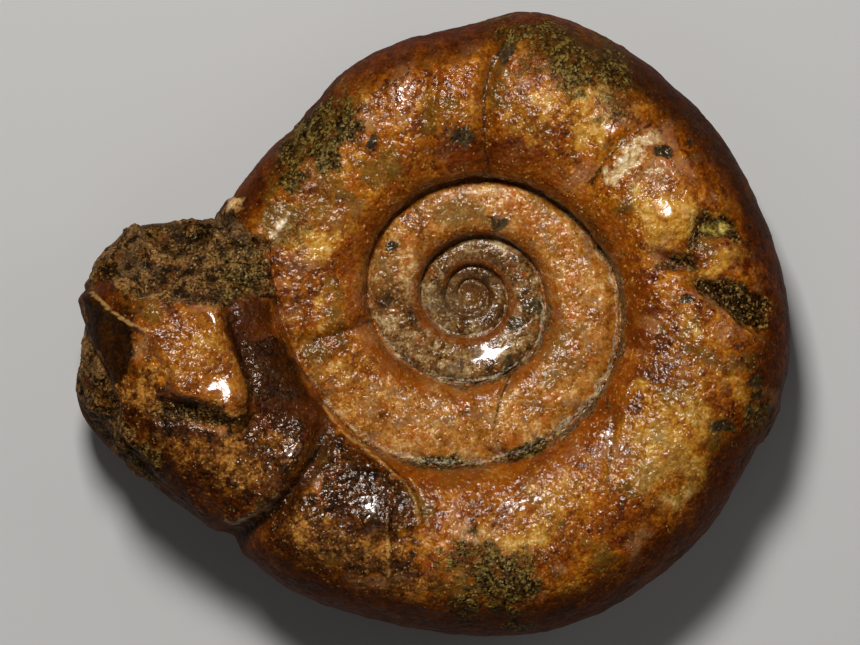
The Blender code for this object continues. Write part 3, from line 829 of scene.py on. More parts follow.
# %% Outlines of plates, rock and pits
PLATE_EDGE = 0.34
PLATE_RAGGED = 0.42
PLATES = {
    "orange": [
        ([(-16.0, -1.9), (-15.0, -1.0), (-13.7, -0.8), (-12.5, -0.9), (-12.1, -2.0), (-11.7, -3.2), (-11.2, -4.2),
          (-11.1, -5.2), (-11.4, -5.8), (-12.2, -5.7), (-13.4, -5.2), (-14.6, -5.2), (-14.8, -4.6), (-15.4, -3.4),
          (-15.7, -2.5)], 1.0),
    ],
    "dark_shell_and_shade": [
        # the first two plates, on the left face of the broken end and on the strip beside the facet, are partly
        # painted shade where these faces turn from the key light; the rest is dark shell
        ([(-19.2, 0.1), (-18.1, -0.6), (-16.9, -1.3), (-16.8, -2.5), (-16.9, -3.8), (-17.4, -4.9), (-18.0, -4.2),
          (-18.7, -2.7), (-19.2, -1.1)], 1.0),
        ([(-11.6, -2.6), (-10.0, -2.1), (-9.0, -2.6), (-8.0, -4.6), (-7.6, -5.6), (-9.0, -5.6), (-10.8, -5.4),
          (-11.1, -4.4)], 0.65),
        ([(-11.9, -11.0), (-10.9, -10.7), (-10.1, -10.1), (-9.7, -9.5), (-10.4, -9.1), (-11.5, -9.9),
          (-12.1, -10.4)], 0.7),
        ([(-7.0, -6.9), (-6.2, -7.0), (-4.8, -8.1), (-2.8, -10.1), (-2.5, -11.4), (-3.3, -12.6), (-4.0, -12.0),
          (-4.8, -11.6), (-5.8, -12.2), (-6.8, -11.4), (-7.4, -9.3), (-7.3, -7.9)], 0.75),
    ],
    "red": [
        ([(-12.2, -0.9), (-10.2, -0.2), (-9.8, -1.5), (-9.3, -2.5), (-8.3, -3.8), (-7.2, -5.8), (-7.1, -6.2),
          (-7.8, -7.4), (-8.8, -8.8), (-10.2, -8.4), (-10.5, -7.5), (-11.0, -6.8), (-11.1, -5.7), (-11.2, -4.4),
          (-11.7, -3.2), (-12.1, -2.0)], 0.8),
    ],
    # painted shade: darker where faces of the broken end and the rims turn away from the key light, and in the hollow
    # beside the lump; a few plates also darken the stone's own tone
    "painted_shade": [
        ([(-19.2, 0.1), (-18.1, -0.6), (-16.9, -1.3), (-16.8, -2.5), (-16.9, -3.8), (-17.4, -4.9), (-18.0, -4.2),
          (-18.7, -2.7), (-19.2, -1.1)], 0.95),
        ([(-12.1, -0.8), (-11.2, -0.3), (-10.1, -0.4), (-9.6, -2.2), (-8.3, -4.8), (-7.6, -6.2), (-8.4, -7.6),
          (-9.6, -6.9), (-10.6, -5.8), (-11.2, -4.4), (-11.9, -2.4)], 0.7),
        ([(-9.2, -2.4), (-7.9, -4.8), (-6.6, -6.6), (-7.0, -8.6), (-8.4, -10.2), (-9.4, -10.6), (-8.3, -8.8),
          (-7.7, -7.2), (-8.3, -5.6), (-9.4, -3.8)], 0.75),
        ([(-16.9, -6.2), (-15.6, -6.1), (-14.2, -8.6), (-12.9, -11.6), (-14.4, -11.0), (-16.0, -9.6)], 0.35),
        ([(-6.4, -7.6), (-5.0, -8.4), (-3.6, -10.4), (-3.6, -12.4), (-4.8, -12.0), (-6.2, -10.4)], 0.5),
        ([(4.5, 13.2), (8.5, 11.7), (11.5, 9.2), (13.8, 6.2), (15.3, 2.6), (14.4, 2.6), (12.6, 5.9), (10.3, 8.4),
          (7.3, 10.6), (4.5, 12.2)], 0.65),
        ([(7.8, -0.2), (9.8, -0.8), (11.6, -2.4), (12.7, -6.2), (11.2, -7.0), (9.4, -5.8), (8.2, -3.8)], 0.35),
        ([(-9.9, -13.0), (-7.4, -12.6), (-6.4, -11.0), (-5.2, -12.6), (-3.0, -13.6), (-3.2, -15.4), (-6.4, -14.9),
          (-9.0, -13.9)], 0.45),
    ],
    "rock": [
        ([(-19.2, 0.3), (-18.9, 2.1), (-17.6, 3.6), (-15.0, 4.3), (-12.9, 4.2), (-11.5, 3.4), (-10.1, 2.7),
          (-9.9, -0.2), (-12.2, -0.7), (-14.0, -0.5), (-15.5, -0.3), (-17.0, 0.1), (-18.2, 0.6)], 1.0),
        ([(-19.2, -0.6), (-19.6, -2.0), (-21.0, -3.1), (-21.0, -5.2), (-20.0, -6.8), (-18.4, -8.4), (-16.8, -9.4),
          (-15.8, -8.9), (-16.7, -7.2), (-17.3, -5.8), (-18.0, -4.2), (-18.8, -2.6)], 0.9),
    ],
    "sand": [
        ([(-12.9, 2.6), (-11.0, 3.1), (-10.1, 2.1), (-10.1, -0.2), (-12.2, -0.7), (-12.8, 0.7)], 0.5),
    ],
    "pit": [
        ([(11.1, 0.8), (12.0, 0.8), (12.6, 0.65), (13.8, 0.3), (14.9, -0.4), (15.0, -1.1), (14.7, -1.8),
          (14.2, -1.8), (13.2, -1.6), (12.8, -1.1), (12.1, -0.6), (11.4, 0.1)], 1.0),
        ([(11.0, 3.7), (11.6, 4.0), (12.6, 4.0), (13.15, 3.75), (13.15, 3.2), (13.5, 2.7), (13.85, 2.4),
          (13.0, 2.6), (12.1, 2.8), (11.4, 2.7), (11.15, 2.2), (10.8, 2.5), (10.9, 3.2)], 1.0),
        ([(8.9, 1.25), (9.35, 1.6), (10.0, 1.75), (10.55, 1.85), (10.8, 2.3), (11.15, 2.3), (11.15, 1.85),
          (10.9, 1.3), (10.2, 1.05), (9.5, 1.0), (9.0, 1.0)], 0.9),
        # the recess under the orange facet: its dark colour is painted shade
        ([(-15.7, -5.5), (-14.6, -5.4), (-13.4, -5.5), (-12.2, -5.9), (-11.4, -6.1), (-11.6, -6.4), (-12.5, -6.4),
          (-13.7, -6.2), (-15.2, -6.4), (-15.9, -5.9)], 0.8),
    ],
    "olive": [
        ([(11.2, 3.3), (11.7, 3.7), (12.5, 3.65), (13.0, 3.25), (12.6, 2.95), (11.8, 2.9)], 1.0),
    ],
    "grey": [
        ([(-16.9, 0.9), (-16.0, 1.1), (-15.4, 0.5), (-15.6, -0.1), (-16.5, -0.2)], 0.7),
    ],
    "pale": [
        ([(6.5, 5.6), (6.7, 6.2), (7.6, 7.2), (8.5, 8.0), (9.2, 8.2), (9.5, 7.7), (9.0, 7.1), (8.4, 6.4), (7.6, 5.8),
          (7.1, 5.2)], 1.0),
        ([(-12.1, -11.2), (-10.9, -10.9), (-10.0, -10.3), (-9.6, -9.8), (-9.3, -10.0), (-9.9, -10.8),
          (-10.8, -11.3), (-11.9, -11.7)], 0.7),
    ],
}


def inside(x, y, outline):
    """Distance in plan to a closed outline, positive inside it."""
    ring = outline + outline[:1]
    held = np.zeros(x.shape, bool)
    for (ax, ay), (bx, by) in zip(ring, ring[1:]):
        if ay != by:
            held ^= ((ay > y) != (by > y)) & (x < ax + (y - ay) * (bx - ax) / (by - ay))
    away = distance_to(x, y, ring)[0]
    return np.where(held, away, -away)


def cover(name, x, y, stray):
    """How far this kind of surface covers each point, from 0 to 1, by its patches and its plates."""
    most = patch_at(x, y, stray, PATCHES[name]) if name in PATCHES else np.zeros(x.shape)
    for outline, strong in PLATES.get(name, []):
        held = inside(x + stray[0] * PLATE_RAGGED, y + stray[1] * PLATE_RAGGED, outline)
        most = np.maximum(most, strong * smooth_share(held, -PLATE_EDGE, PLATE_EDGE))
    return most


# %% [markdown]
# ## Raising the relief
# The bare coil is moved along its own normals by the sum of all the relief. The upper side gets everything. The
# underside lies hidden in the photograph, so it gets the growth furrows of the upper side again, since these run
# right round the tube, with lumpy stone and a patch or two of rock.

# %% Moving every vertex along its normal
LUMP_SIZE = 1.3
LUMP_HEIGHT = 0.075
GRAIN_SIZE = 0.36
GRAIN_HEIGHT = 0.014
ROCK_GRAIN_HEIGHT = 0.11
KNOB_SIZE = 1.25
KNOB_HEIGHT = 0.42
KNOB_SHIFT = 19.0
CRACK_DEPTH = 0.07
VEIN_WOBBLE = 0.14
PIT_DEPTH = 0.34
OLIVE_HEIGHT = 0.16
POLISH_SMOOTHS = 0.85
UNDERSIDE_ROCK_SIZE = 3.2


def upper_share(z):
    return np.clip((z + 0.6) / 1.2, 0, 1)


def rough_share(points, place, stray):
    """How raw the surface is, 0 on smooth shell and 1 on sand and rock."""
    x, y, z = points.T
    upper = upper_share(z)
    top = np.maximum(cover("sand", x, y, stray), cover("rock", x, y, stray))
    broken = np.where(place.last, smooth_share(place.turn, 0.525, 0.541), 0)
    below = smooth_share(lumps(points, UNDERSIDE_ROCK_SIZE, 2, 3.0), 0.25, 0.6) * 0.8
    return np.maximum(top * upper + below * (1 - upper), broken)


def relief(points):
    """How far each point moves out along its normal, in millimetres."""
    x, y, z = points.T
    place = Place(x, y)
    upper = upper_share(z)
    smooth_edge = np.where(place.last, smooth_share(place.to_seam, 0.0, 0.5), 1.0)
    stray = strays(points)
    fine = ledges_at(x, y, LEDGES) * smooth_edge - CRACK_DEPTH * cracks_at(x, y, stray[0] * CRACK_WOBBLE)
    fine += furrows_at(x + stray[0] * VEIN_WOBBLE, y + stray[1] * VEIN_WOBBLE, VEINS)
    fine += OLIVE_HEIGHT * cover("olive", x, y, stray) - PIT_DEPTH * cover("pit", x, y, stray)
    fine += swellings_at(x, y, BOSSES, 1.3) + swellings_at(x, y, STEEP_PITS, 3.0)
    rough = rough_share(points, place, stray)
    knobs = lumps(points, KNOB_SIZE, 4, KNOB_SHIFT) * cover("rock", x, y, stray)
    ribs = ribs_at(points, place)
    top = main_relief(x, y, place) + fine + ribs + seam_form(points, place) + knobs * KNOB_HEIGHT
    below = -furrows_at(x, y, FURROWS[:6]) * 0.5 * smooth_share(place.to_seam, 0.2, 1.0) + ribs
    stone = lumps(points, LUMP_SIZE, 3, 0.0) * LUMP_HEIGHT
    grains = lumps(points, GRAIN_SIZE, 3, 7.0) * (GRAIN_HEIGHT + rough * ROCK_GRAIN_HEIGHT)
    uneven = fineness(place) * (1 - POLISH_SMOOTHS * cover("polished", x, y, stray))
    return top * upper + below * (1 - upper) + (stone + grains) * uneven


def raise_relief(bm):
    bm.normal_update()
    points = np.array([v.co for v in bm.verts])
    normals = np.array([v.normal for v in bm.verts])
    moved = points + normals * relief(points)[:, None]
    for vert, point in zip(bm.verts, moved):
        vert.co = point
    return np.abs(moved - points).max()


most = raise_relief(coil)
print("farthest any vertex moved, mm:", round(float(most), 2))

# %% [markdown]
# ## Setting it down
# The fossil rests on a few worn spots on its underside. The coil is leaned as the solid is, lifted to its place,
# and what would stand below the floor is cut off flat with one plane, as years of standing on a shelf would wear it.

# %% Lean, lift, and wear flat
def set_down(bm):
    for vert in bm.verts:
        x, y, z = vert.co
        z += MIDDLE_HEIGHT + LEAN_X * x + LEAN_Y * y
        vert.co = ((x + AXIS_AT[0]) * MM, (y + AXIS_AT[1]) * MM, z * MM)
    everything = bm.verts[:] + bm.edges[:] + bm.faces[:]
    bmesh.ops.bisect_plane(bm, geom=everything, dist=1e-7, plane_no=(0, 0, -1), clear_outer=True)
    cut = [e for e in bm.edges if e.is_boundary]
    worn = bmesh.ops.holes_fill(bm, edges=cut, sides=0)["faces"]
    bmesh.ops.triangulate(bm, faces=worn, ngon_method="EAR_CLIP")
    bmesh.ops.recalc_face_normals(bm, faces=bm.faces)
    return len(worn)


flats = set_down(coil)
mesh = bpy.data.meshes.new("ammonite fossil")
coil.to_mesh(mesh)
coil.free()
mesh.polygons.foreach_set("use_smooth", [True] * len(mesh.polygons))
fossil = bpy.data.objects.new("ammonite_fossil", mesh)
bpy.context.scene.collection.objects.link(fossil)
print(flats, "worn flats,", sum(len(p.vertices) - 2 for p in mesh.polygons), "triangles")

# %% [markdown]
# ## Masks for the material
# The material has to know where the patches lie. Painting a picture would tie the fossil to one view, so each mask
# is stored as a number on every vertex instead, worked out by the same formulas as the relief.

# %% Masks stored on the vertices
def store(name, values):
    mesh.attributes.new(name, "FLOAT", "POINT").data.foreach_set("value", values.astype(np.float32))


def coil_points():
    """The mesh back in the coil's own place, in millimetres."""
    flat = np.empty(len(mesh.vertices) * 3, np.float32)
    mesh.vertices.foreach_get("co", flat)
    x, y, z = (flat.reshape(-1, 3) / MM).T.astype(float)
    x = x - AXIS_AT[0]
    y = y - AXIS_AT[1]
    return np.stack([x, y, z - MIDDLE_HEIGHT - LEAN_X * x - LEAN_Y * y], axis=-1)


DIRT_WIDTH = 0.26
DIRTIEST_AT = 0.10
FULL_VEIN = 0.12
CORE_RADIUS = 3.2
FULL_GROOVE = 0.50
RIM_DIRT = 0.35
BRIGHT_AT = 0.20
BRIGHT_WIDTH = 0.13
LIT_AT = 0.20
TAN_FROM = (0.50, 0.72)
GREY_FROM = (1.30, 1.60)

points = coil_points()
x, y, z = points.T
place = Place(x, y)
upper = upper_share(z)
stray = strays(points)
for name in {**PATCHES, **PLATES}:
    if name not in ("sand", "rock"):
        store(name, cover(name, x, y, stray) * upper)
rough = rough_share(points, place, stray)
sand = cover("sand", x, y, stray) * upper
store("sand", sand)
store("rock", np.where(sand > rough - 0.05, 0, rough))
# painted light and shade on the rock: the knob heights, which colour it lighter on the knobs and darker between them
store("knob", 0.5 + 0.5 * lumps(points, KNOB_SIZE, 4, KNOB_SHIFT))
store("crack", cracks_at(x, y, stray[0] * CRACK_WOBBLE) * upper)
veins = furrows_at(x + stray[0] * VEIN_WOBBLE, y + stray[1] * VEIN_WOBBLE, VEINS)
store("vein", np.clip(veins / FULL_VEIN, 0, 1) ** 2 * upper)
store("core", np.clip(1 - place.radius / CORE_RADIUS, 0, 1))
# painted shade: the furrows darken by their depth
grooves = furrows_at(x, y, FURROWS) * place.last + furrows_at(x, y, INNER_FURROWS) * ~place.last
store("painted_furrow_shade", np.clip(grooves / FULL_GROOVE, 0, 1) * upper)
size = fineness(place)
inside, outside, crumbled = seam_distance(points, place)
dirt_width = DIRT_WIDTH * size * (0.5 + crumbled)
on_wall = np.exp(-((inside / dirt_width) ** 2))
on_rim = np.exp(-((outside / (RIM_DIRT * dirt_width)) ** 2))
dirty = 0.62 + 0.38 * np.cos(2 * np.pi * (place.turn - DIRTIEST_AT))
age = smooth_share(-place.turn, *TAN_FROM) + smooth_share(-place.turn, *GREY_FROM)
store("crevice", np.maximum(on_wall, on_rim) * (0.45 + 0.55 * crumbled) * dirty * (1 - 0.3 * age) * upper)
# painted highlight: the mask of a pale line along the thin edge of each whorl at the seam, brightest where the edge
# faces the key light
lit = 0.55 + 0.45 * np.cos(2 * np.pi * (place.turn - LIT_AT))
store("lip", np.exp(-(((outside - BRIGHT_AT * size) / (BRIGHT_WIDTH * size)) ** 2)) * lit * upper)
store("inner", age / 2 * upper)
wall = np.where(place.whorl < 2.5, smooth_share(-place.across, 0.45, 0.85), 0)
store("wall", wall * upper)
# painted shade: the colour darkens on the outer side of the last whorl, where it turns away from the key light
store("venter", smooth_share(place.across, 0.30, 0.95) * place.last)
print("masks:", [a.name for a in mesh.attributes if a.data_type == "FLOAT"])

# %% [markdown]
# ## The stone
# Iron-stained calcite, polished by handling and varnished, as many show fossils are. To the eye it is an orange
# brown with darker and golden clouds, a fine sugary grain that sparkles, and a thin clear gloss on top. One
# Principled shader does it: a mottled base colour, a fine bump for the grain, and the shader's clear coat for the
# varnish. All patterns read Object coordinates in millimetres, so a grain size can be measured in the picture.

# %% Helpers for nodes and colours
def linear(hex_colour):
    """An sRGB hex colour as the linear values that shaders use."""
    parts = [int(hex_colour[i : i + 2], 16) / 255 for i in (1, 3, 5)]
    return (*[c / 12.92 if c <= 0.04045 else ((c + 0.055) / 1.055) ** 2.4 for c in parts], 1.0)


stone = bpy.data.materials.new("varnished iron-stained calcite")
stone.use_nodes = True
nodes = stone.node_tree.nodes
links = stone.node_tree.links
shader = nodes["Principled BSDF"]


def add(kind, sockets=(), **settings):
    """Adds a node with its settings. Each socket gets a value, or a link from another node's output."""
    made = nodes.new(kind)
    for name, value in settings.items():
        setattr(made, name, value)
    for key, value in dict(sockets).items():
        if isinstance(value, bpy.types.NodeSocket):
            links.new(value, made.inputs[key])
        else:
            made.inputs[key].default_value = value
    return made


position = add("ShaderNodeTexCoord").outputs["Object"]
in_mm = add("ShaderNodeVectorMath", {0: position, "Scale": 1 / MM}, operation="SCALE").outputs["Vector"]


def clouds(size, detail=3.0, shift=0.0, roughness=0.55):
    """Noise from 0 to 1 with features of this size in millimetres."""
    moved = add("ShaderNodeVectorMath", {0: in_mm, 1: (shift, -shift, shift / 2)}).outputs["Vector"]
    sockets = {"Vector": moved, "Scale": 1 / size, "Detail": detail, "Roughness": roughness}
    return add("ShaderNodeTexNoise", sockets).outputs["Fac"]


def spread(value, low, high, start=0.0, stop=1.0):
    """Stretches low to high over start to stop, smoothly, and holds it there beyond."""
    sockets = {"Value": value, "From Min": low, "From Max": high, "To Min": start, "To Max": stop}
    return add("ShaderNodeMapRange", sockets, interpolation_type="SMOOTHSTEP").outputs["Result"]


def maths(operation, a, b):
    return add("ShaderNodeMath", {0: a, 1: b}, operation=operation).outputs["Value"]


def mask(name):
    return add("ShaderNodeAttribute", attribute_name=name).outputs["Fac"]


def mixed(share, below, above, blend="MIX"):
    """Two colours mixed. A colour is a node's output or a hex value."""
    below, above = (linear(c) if isinstance(c, str) else c for c in (below, above))
    made = add("ShaderNodeMix", {0: share, 6: below, 7: above}, data_type="RGBA", blend_type=blend)
    return made.outputs[2]


def mottled(value, colours):
    """A colour ramp over a value: hex colours with the place of each."""
    ramp = add("ShaderNodeValToRGB", {"Fac": value})
    stops = ramp.color_ramp.elements
    while len(stops) < len(colours):
        stops.new(0.5)
    for stop, (at, colour) in zip(stops, colours):
        stop.position = at
        stop.color = linear(colour)
    return ramp.outputs["Color"]


def frayed(name, edge, low=0.35, high=0.6, amount=0.5):
    """A mask whose edge is broken up by noise, and which stays 0 where it was 0."""
    uneven = maths("ADD", maths("MULTIPLY", maths("SUBTRACT", edge, 0.5), amount), 1.0)
    return spread(maths("MULTIPLY", mask(name), uneven), low, high)


print("helpers ready")

# %% [markdown]
# ## Colours of the stone
# The colour is laid as it was in nature, from below: the orange cast, its red and golden clouds, the paler inner
# whorls, then shell, rock and sand over them, and last the dirt in the seams. Painted shade darkens the outer side,
# parts of the broken end, the furrows, pits and rock hollows; a painted highlight runs along the seam edges, and
# painted glints are sprinkled on top.

# %% Base colour
CLOUD_SIZE = 1.7
MOTTLE_SIZE = 0.5
SUGAR_SIZE = 0.16
SAND_GRAIN = 0.20
CRYSTAL_SIZE = 0.085
GRIT_SIZE = 0.11
HUE_SIZE = 0.9
CHIP_SIZE = 0.36
CHIP_WARP = 0.40
GRAIN_TINT = 0.14
SUGARY_SIZE = 0.9
GLINT_SPECK_SHARE = 0.28

cloud = clouds(CLOUD_SIZE, 4.0)
tint = clouds(2.3, 4.0, 71.0)
mottle = clouds(MOTTLE_SIZE, 3.0, 11.0)
sugar = clouds(SUGAR_SIZE, 2.0, 23.0)
pepper = clouds(SAND_GRAIN, 2.0, 31.0, 0.7)
crystals = add("ShaderNodeTexVoronoi", {"Vector": in_mm, "Scale": 1 / CRYSTAL_SIZE}).outputs["Color"]
grit = add("ShaderNodeTexVoronoi", {"Vector": in_mm, "Scale": 1 / GRIT_SIZE}).outputs["Color"]
wander = add("ShaderNodeTexNoise", {"Vector": in_mm, "Scale": 1 / CHIP_SIZE, "Detail": 3.0}).outputs["Color"]
wander = add("ShaderNodeVectorMath", {0: wander, "Scale": CHIP_WARP}, operation="SCALE").outputs["Vector"]
wander = add("ShaderNodeVectorMath", {0: in_mm, 1: wander}).outputs["Vector"]
chips = add("ShaderNodeTexVoronoi", {"Vector": wander, "Scale": 1 / CHIP_SIZE}).outputs
grains = maths("ADD", maths("MULTIPLY", grit, 0.45), maths("MULTIPLY", mottle, 0.55))
# painted light and shade: rock colour lighter on the knob tops, darker in the hollows between them
knob_shaded_grains = maths("ADD", maths("MULTIPLY", grains, 0.70), maths("MULTIPLY", mask("knob"), 0.30))
hue = clouds(HUE_SIZE, 3.0, 83.0)
blend_in = maths("ADD", maths("MULTIPLY", cloud, 0.55), maths("MULTIPLY", mottle, 0.3))
blend_in = maths("ADD", blend_in, maths("MULTIPLY", chips["Color"], 0.15))
blend_in = maths("ADD", blend_in, maths("MULTIPLY", maths("SUBTRACT", sugar, 0.5), 0.35))

cast = mottled(blend_in, [(0.32, "#340f00"), (0.44, "#713301"), (0.55, "#985406"), (0.68, "#c2832a")])
golden = mottled(blend_in, [(0.30, "#5d2a03"), (0.44, "#93560a"), (0.56, "#b6812c"), (0.70, "#d5b16f")])
red = mottled(blend_in, [(0.30, "#1c0501"), (0.46, "#431401"), (0.60, "#652703"), (0.75, "#8d480e")])
inner = mottled(blend_in, [(0.32, "#552704"), (0.44, "#884e0f"), (0.56, "#ac712e"), (0.68, "#d0a76d")])
middle = mottled(blend_in, [(0.36, "#281505"), (0.46, "#583613"), (0.55, "#846034"), (0.66, "#bea67c")])
facet_stone = mottled(blend_in, [(0.32, "#4a1c01"), (0.44, "#743904"), (0.56, "#955812"), (0.70, "#b2833c")])
brown = mottled(blend_in, [(0.38, "#120600"), (0.46, "#3d1d04"), (0.54, "#643709"), (0.64, "#a8702c")])
dark_shell_and_shade = mottled(blend_in, [(0.38, "#090300"), (0.47, "#270e00"), (0.54, "#431c02"), (0.64, "#6b3a0c")])
pale = mottled(blend_in, [(0.30, "#7a5021"), (0.44, "#b58b51"), (0.56, "#d3b68a"), (0.70, "#f2e8cf")])
grey = mottled(blend_in, [(0.30, "#0f0a04"), (0.46, "#2c1f0e"), (0.60, "#4a3b20"), (0.76, "#786a48")])
olive = mottled(blend_in, [(0.36, "#45370f"), (0.45, "#7a6524"), (0.55, "#a68e44"), (0.66, "#dcc67a")])
rock = mottled(knob_shaded_grains, [(0.36, "#080300"), (0.46, "#331d08"), (0.54, "#604119"), (0.66, "#8f683a")])
rock = mixed(spread(hue, 0.54, 0.68, 0.0, 0.6), rock, "#522708")
rock = mixed(spread(tint, 0.46, 0.36, 0.0, 0.5), rock, "#4a3a2a")
# painted shade: black spots drawn as small shadowed pits, with no matching hollow in the mesh
rock = mixed(spread(mottle, 0.43, 0.36, 0.0, 0.85), rock, "#0a0803")
sand = mottled(grains, [(0.36, "#0a0601"), (0.46, "#271c08"), (0.55, "#483713"), (0.66, "#7a632d")])
sand = mixed(spread(hue, 0.52, 0.66, 0.0, 0.6), sand, "#58360e")
pit = mottled(grains, [(0.36, "#050200"), (0.48, "#1a0f04"), (0.58, "#42290c"), (0.70, "#8b6a36")])
dirt = mottled(grains, [(0.34, "#0a0502"), (0.45, "#2a1a07"), (0.56, "#503a15"), (0.68, "#98804c")])

colour = mixed(spread(tint, 0.53, 0.66, 0.0, 0.75), cast, "#5d4312")
colour = mixed(spread(tint, 0.46, 0.34, 0.0, 0.6), colour, "#a8754a")
colour = mixed(spread(hue, 0.56, 0.72, 0.0, 0.45), colour, "#943c08")
colour = mixed(spread(hue, 0.44, 0.30, 0.0, 0.40), colour, "#77602c")
colour = mixed(frayed("red", cloud, 0.2, 0.7, 2.6), colour, red)
colour = mixed(frayed("golden", cloud, 0.2, 0.8, 2.6), colour, golden)
inner = mixed(spread(hue, 0.54, 0.68, 0.0, 0.6), inner, "#a04c10")
inner = mixed(spread(hue, 0.46, 0.34, 0.0, 0.5), inner, "#8a6a4a")
middle = mixed(spread(hue, 0.54, 0.66, 0.0, 0.7), middle, "#8a4510")
middle = mixed(spread(tint, 0.46, 0.34, 0.0, 0.5), middle, "#5f5240")
colour = mixed(spread(mask("inner"), 0.0, 0.5), colour, inner)
colour = mixed(spread(mask("inner"), 0.5, 1.0), colour, middle)
colour = mixed(maths("MULTIPLY", mask("core"), 0.9), colour, "#3d2610")
colour = mixed(frayed("brown", cloud, 0.15, 0.65, 2.2), colour, brown)
colour = mixed(maths("MULTIPLY", spread(mask("wall"), 0.1, 0.9), 0.6), colour, "#763403")
# painted shade on the outer side of the last whorl
colour = mixed(maths("MULTIPLY", spread(mask("venter"), 0.0, 0.8), 0.9), colour, mixed(0.35, red, "#1e0800"))
colour = mixed(maths("MULTIPLY", frayed("dull", cloud, 0.15, 0.9, 2.4), 0.7), colour, "#6a4d22")
colour = mixed(frayed("orange", mottle, 0.25, 0.75, 1.8), colour, facet_stone)
# dark shell, and on two plates of the broken end also painted shade
colour = mixed(frayed("dark_shell_and_shade", mottle, 0.2, 0.75, 2.6), colour, dark_shell_and_shade)
colour = mixed(frayed("pale", mottle, 0.3, 0.9, 2.6), colour, pale)
colour = mixed(frayed("grey", mottle, 0.2, 0.6, 2.4), colour, grey)
colour = mixed(spread(pepper, 0.66, 0.74, 0.0, 0.7), colour, "#1d0c02")
patchy = maths("ADD", maths("MULTIPLY", mottle, 0.6), maths("MULTIPLY", pepper, 0.4))
rock_share = frayed("rock", patchy, 0.2, 0.6, 3.0)
sand_share = frayed("sand", patchy, 0.15, 0.80, 2.8)
# painted shade laid over the colour
colour = mixed(maths("MULTIPLY", frayed("painted_shade", cloud, 0.1, 0.9, 1.6), 0.75), colour, "#120600")
pit_share = frayed("pit", grains, 0.2, 0.7, 2.4)
# painted shade in the furrows, darker the deeper they are
colour = mixed(maths("MULTIPLY", mask("painted_furrow_shade"), 0.55), colour, "#3a1a05")
colour = mixed(maths("MULTIPLY", frayed("vein", mottle, 0.3, 1.0, 2.4), 0.6), colour, "#b08448")
colour = mixed(maths("MULTIPLY", frayed("crack", grains, 0.2, 0.9, 2.0), 0.85), colour, "#120802")
colour = mixed(rock_share, colour, rock)
colour = mixed(sand_share, colour, sand)
# the pits are dark partly from their granular fill and partly as painted shade in the hollows
colour = mixed(pit_share, colour, pit)
colour = mixed(frayed("olive", mottle, 0.2, 0.9, 2.4), colour, olive)
# painted highlight along the seam edges, stronger on the inner whorls
edge_highlight_share = maths("ADD", 0.22, maths("MULTIPLY", mask("inner"), 0.50))
colour = mixed(maths("MULTIPLY", frayed("lip", grains, 0.35, 0.9, 2.6), edge_highlight_share), colour, "#e4d2ae")
colour = mixed(frayed("crevice", patchy, 0.20, 0.65, 3.4), colour, dirt)
colour = mixed(GRAIN_TINT, colour, crystals, "OVERLAY")
sugary = spread(clouds(SUGARY_SIZE, 2.0, 61.0), 0.40, 0.62, 0.35, 1.0)
sugary = maths("MAXIMUM", sugary, mask("lip"))
# painted highlights: bright golden specks on the sparkly stone, partly golden grains and partly painted glints; none
# on the outer side or under the painted shade
unshaded = maths("SUBTRACT", 1.0, maths("MAXIMUM", mask("venter"), mask("painted_shade")))
glint_specks = maths("MULTIPLY", spread(crystals, 0.82, 0.90, 0.0, GLINT_SPECK_SHARE), maths("MULTIPLY", sugary, unshaded))
colour = mixed(glint_specks, colour, "#f6cf86")
links.new(colour, shader.inputs["Base Color"])

# %% [markdown]
# ## Gloss and grain
# Broken calcite is a mass of tiny crystal faces, and each one tilts the gloss its own way, which is the sparkle.
# A bump of about a tenth of a millimetre gives that. Its real depth is a few hundredths.

# %% Roughness, coat and bump
STONE_ROUGHNESS = (0.23, 0.38)
ROCK_ROUGHNESS = 0.65
VENTER_DULLS = 0.35
STONE_IOR = 1.55
STONE_SPECULAR = 0.09
GOLDEN_GLINT = "#ffb648"
COAT = 0.48
VENTER_COAT = 0.0
POLISH_GAIN = 1.0
RAW_LOSS = 0.7
COAT_ROUGHNESS = 0.16
COAT_IOR = 1.5
CRYSTAL_TILT = 0.60
COAT_TILT = 0.22
GRAIN_BUMP_SIZE = 0.24
GRAIN_BUMP_DEPTH = 0.035
LUMP_BUMP_SIZE = 0.6
LUMP_BUMP_DEPTH = 0.04
RAW_BUMP_DEPTH = 0.14
CHIP_DEPTH = 0.07

raw = maths("MAXIMUM", maths("MAXIMUM", rock_share, sand_share), pit_share)
own = spread(mottle, 0.35, 0.65, *STONE_ROUGHNESS)
own = maths("ADD", own, maths("MULTIPLY", spread(mask("venter"), 0.0, 0.6), VENTER_DULLS))
roughness = add("ShaderNodeMix", {0: raw, 2: own, 3: ROCK_ROUGHNESS}, data_type="FLOAT").outputs[0]
links.new(roughness, shader.inputs["Roughness"])
polished = spread(mask("polished"), 0.0, 0.8)
rugged = maths("SUBTRACT", 1.0, maths("MULTIPLY", polished, 0.88))
sugary = maths("MULTIPLY", sugary, rugged)
facing = add("ShaderNodeNewGeometry").outputs["Normal"]
fine_grain = clouds(GRAIN_BUMP_SIZE, 3.0, 41.0, 0.6)
coarse_grain = clouds(LUMP_BUMP_SIZE, 3.0, 53.0, 0.5)
height = maths("ADD", maths("MULTIPLY", fine_grain, GRAIN_BUMP_DEPTH),
               maths("MULTIPLY", coarse_grain, LUMP_BUMP_DEPTH))
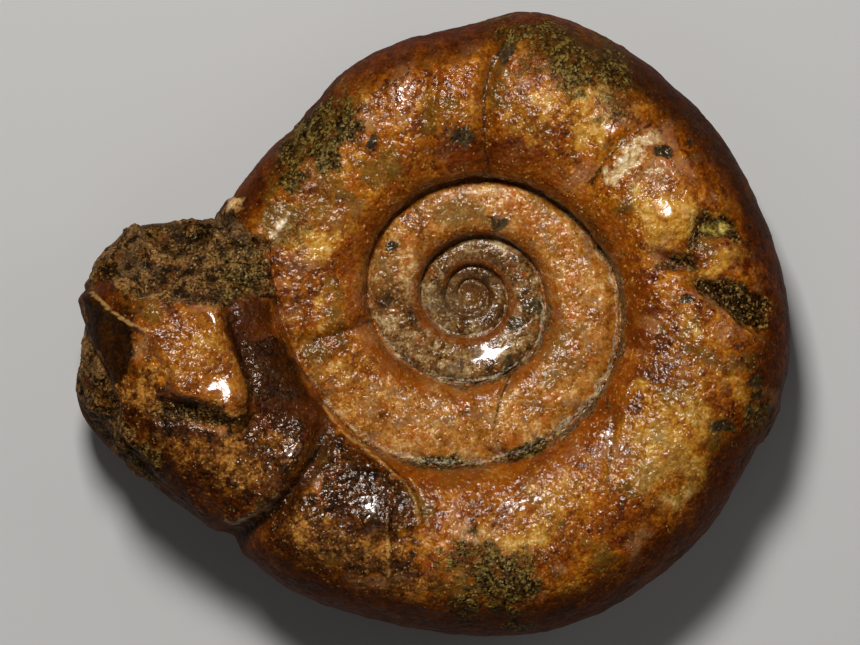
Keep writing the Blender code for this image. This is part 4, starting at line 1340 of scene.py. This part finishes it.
chipped = maths("SUBTRACT", CHIP_DEPTH, maths("MULTIPLY", mask("inner"), CHIP_DEPTH / 2))
height = maths("SUBTRACT", height, maths("MULTIPLY", chips["Distance"], chipped))
height = maths("MULTIPLY", height, rugged)
height = maths("ADD", height, maths("MULTIPLY", maths("MULTIPLY", pepper, raw), RAW_BUMP_DEPTH))


def faceted(tilt):
    """The bumpy surface with each crystal face tilted its own way, at most by this share."""
    sockets = {0: crystals, 1: (0.5, 0.5, 0.5)}
    tilted = add("ShaderNodeVectorMath", sockets, operation="SUBTRACT").outputs["Vector"]
    sockets = {0: tilted, "Scale": maths("MULTIPLY", sugary, tilt)}
    tilted = add("ShaderNodeVectorMath", sockets, operation="SCALE").outputs["Vector"]
    facet = add("ShaderNodeVectorMath", {0: facing, 1: tilted}, operation="ADD").outputs["Vector"]
    facet = add("ShaderNodeVectorMath", {0: facet}, operation="NORMALIZE").outputs["Vector"]
    sockets = {"Height": height, "Distance": MM, "Strength": 1.0, "Normal": facet}
    return add("ShaderNodeBump", sockets).outputs["Normal"]


links.new(faceted(CRYSTAL_TILT), shader.inputs["Normal"])
links.new(faceted(COAT_TILT), shader.inputs["Coat Normal"])
shader.inputs["Specular Tint"].default_value = linear(GOLDEN_GLINT)
shader.inputs["IOR"].default_value = STONE_IOR
shader.inputs["Specular IOR Level"].default_value = STONE_SPECULAR
coat = spread(mask("venter"), 0.0, 0.4, COAT, VENTER_COAT)
coat = maths("MULTIPLY", coat, maths("ADD", 1.0, maths("MULTIPLY", polished, POLISH_GAIN)))
coat = maths("MULTIPLY", coat, maths("SUBTRACT", 1.0, maths("MULTIPLY", raw, RAW_LOSS)))
links.new(coat, shader.inputs["Coat Weight"])
shader.inputs["Coat Roughness"].default_value = COAT_ROUGHNESS
shader.inputs["Coat IOR"].default_value = COAT_IOR
mesh.materials.append(stone)
print("material has", len(nodes), "nodes")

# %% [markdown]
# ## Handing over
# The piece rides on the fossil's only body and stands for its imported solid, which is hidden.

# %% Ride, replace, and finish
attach(fossil, "root")
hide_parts("ammonite")
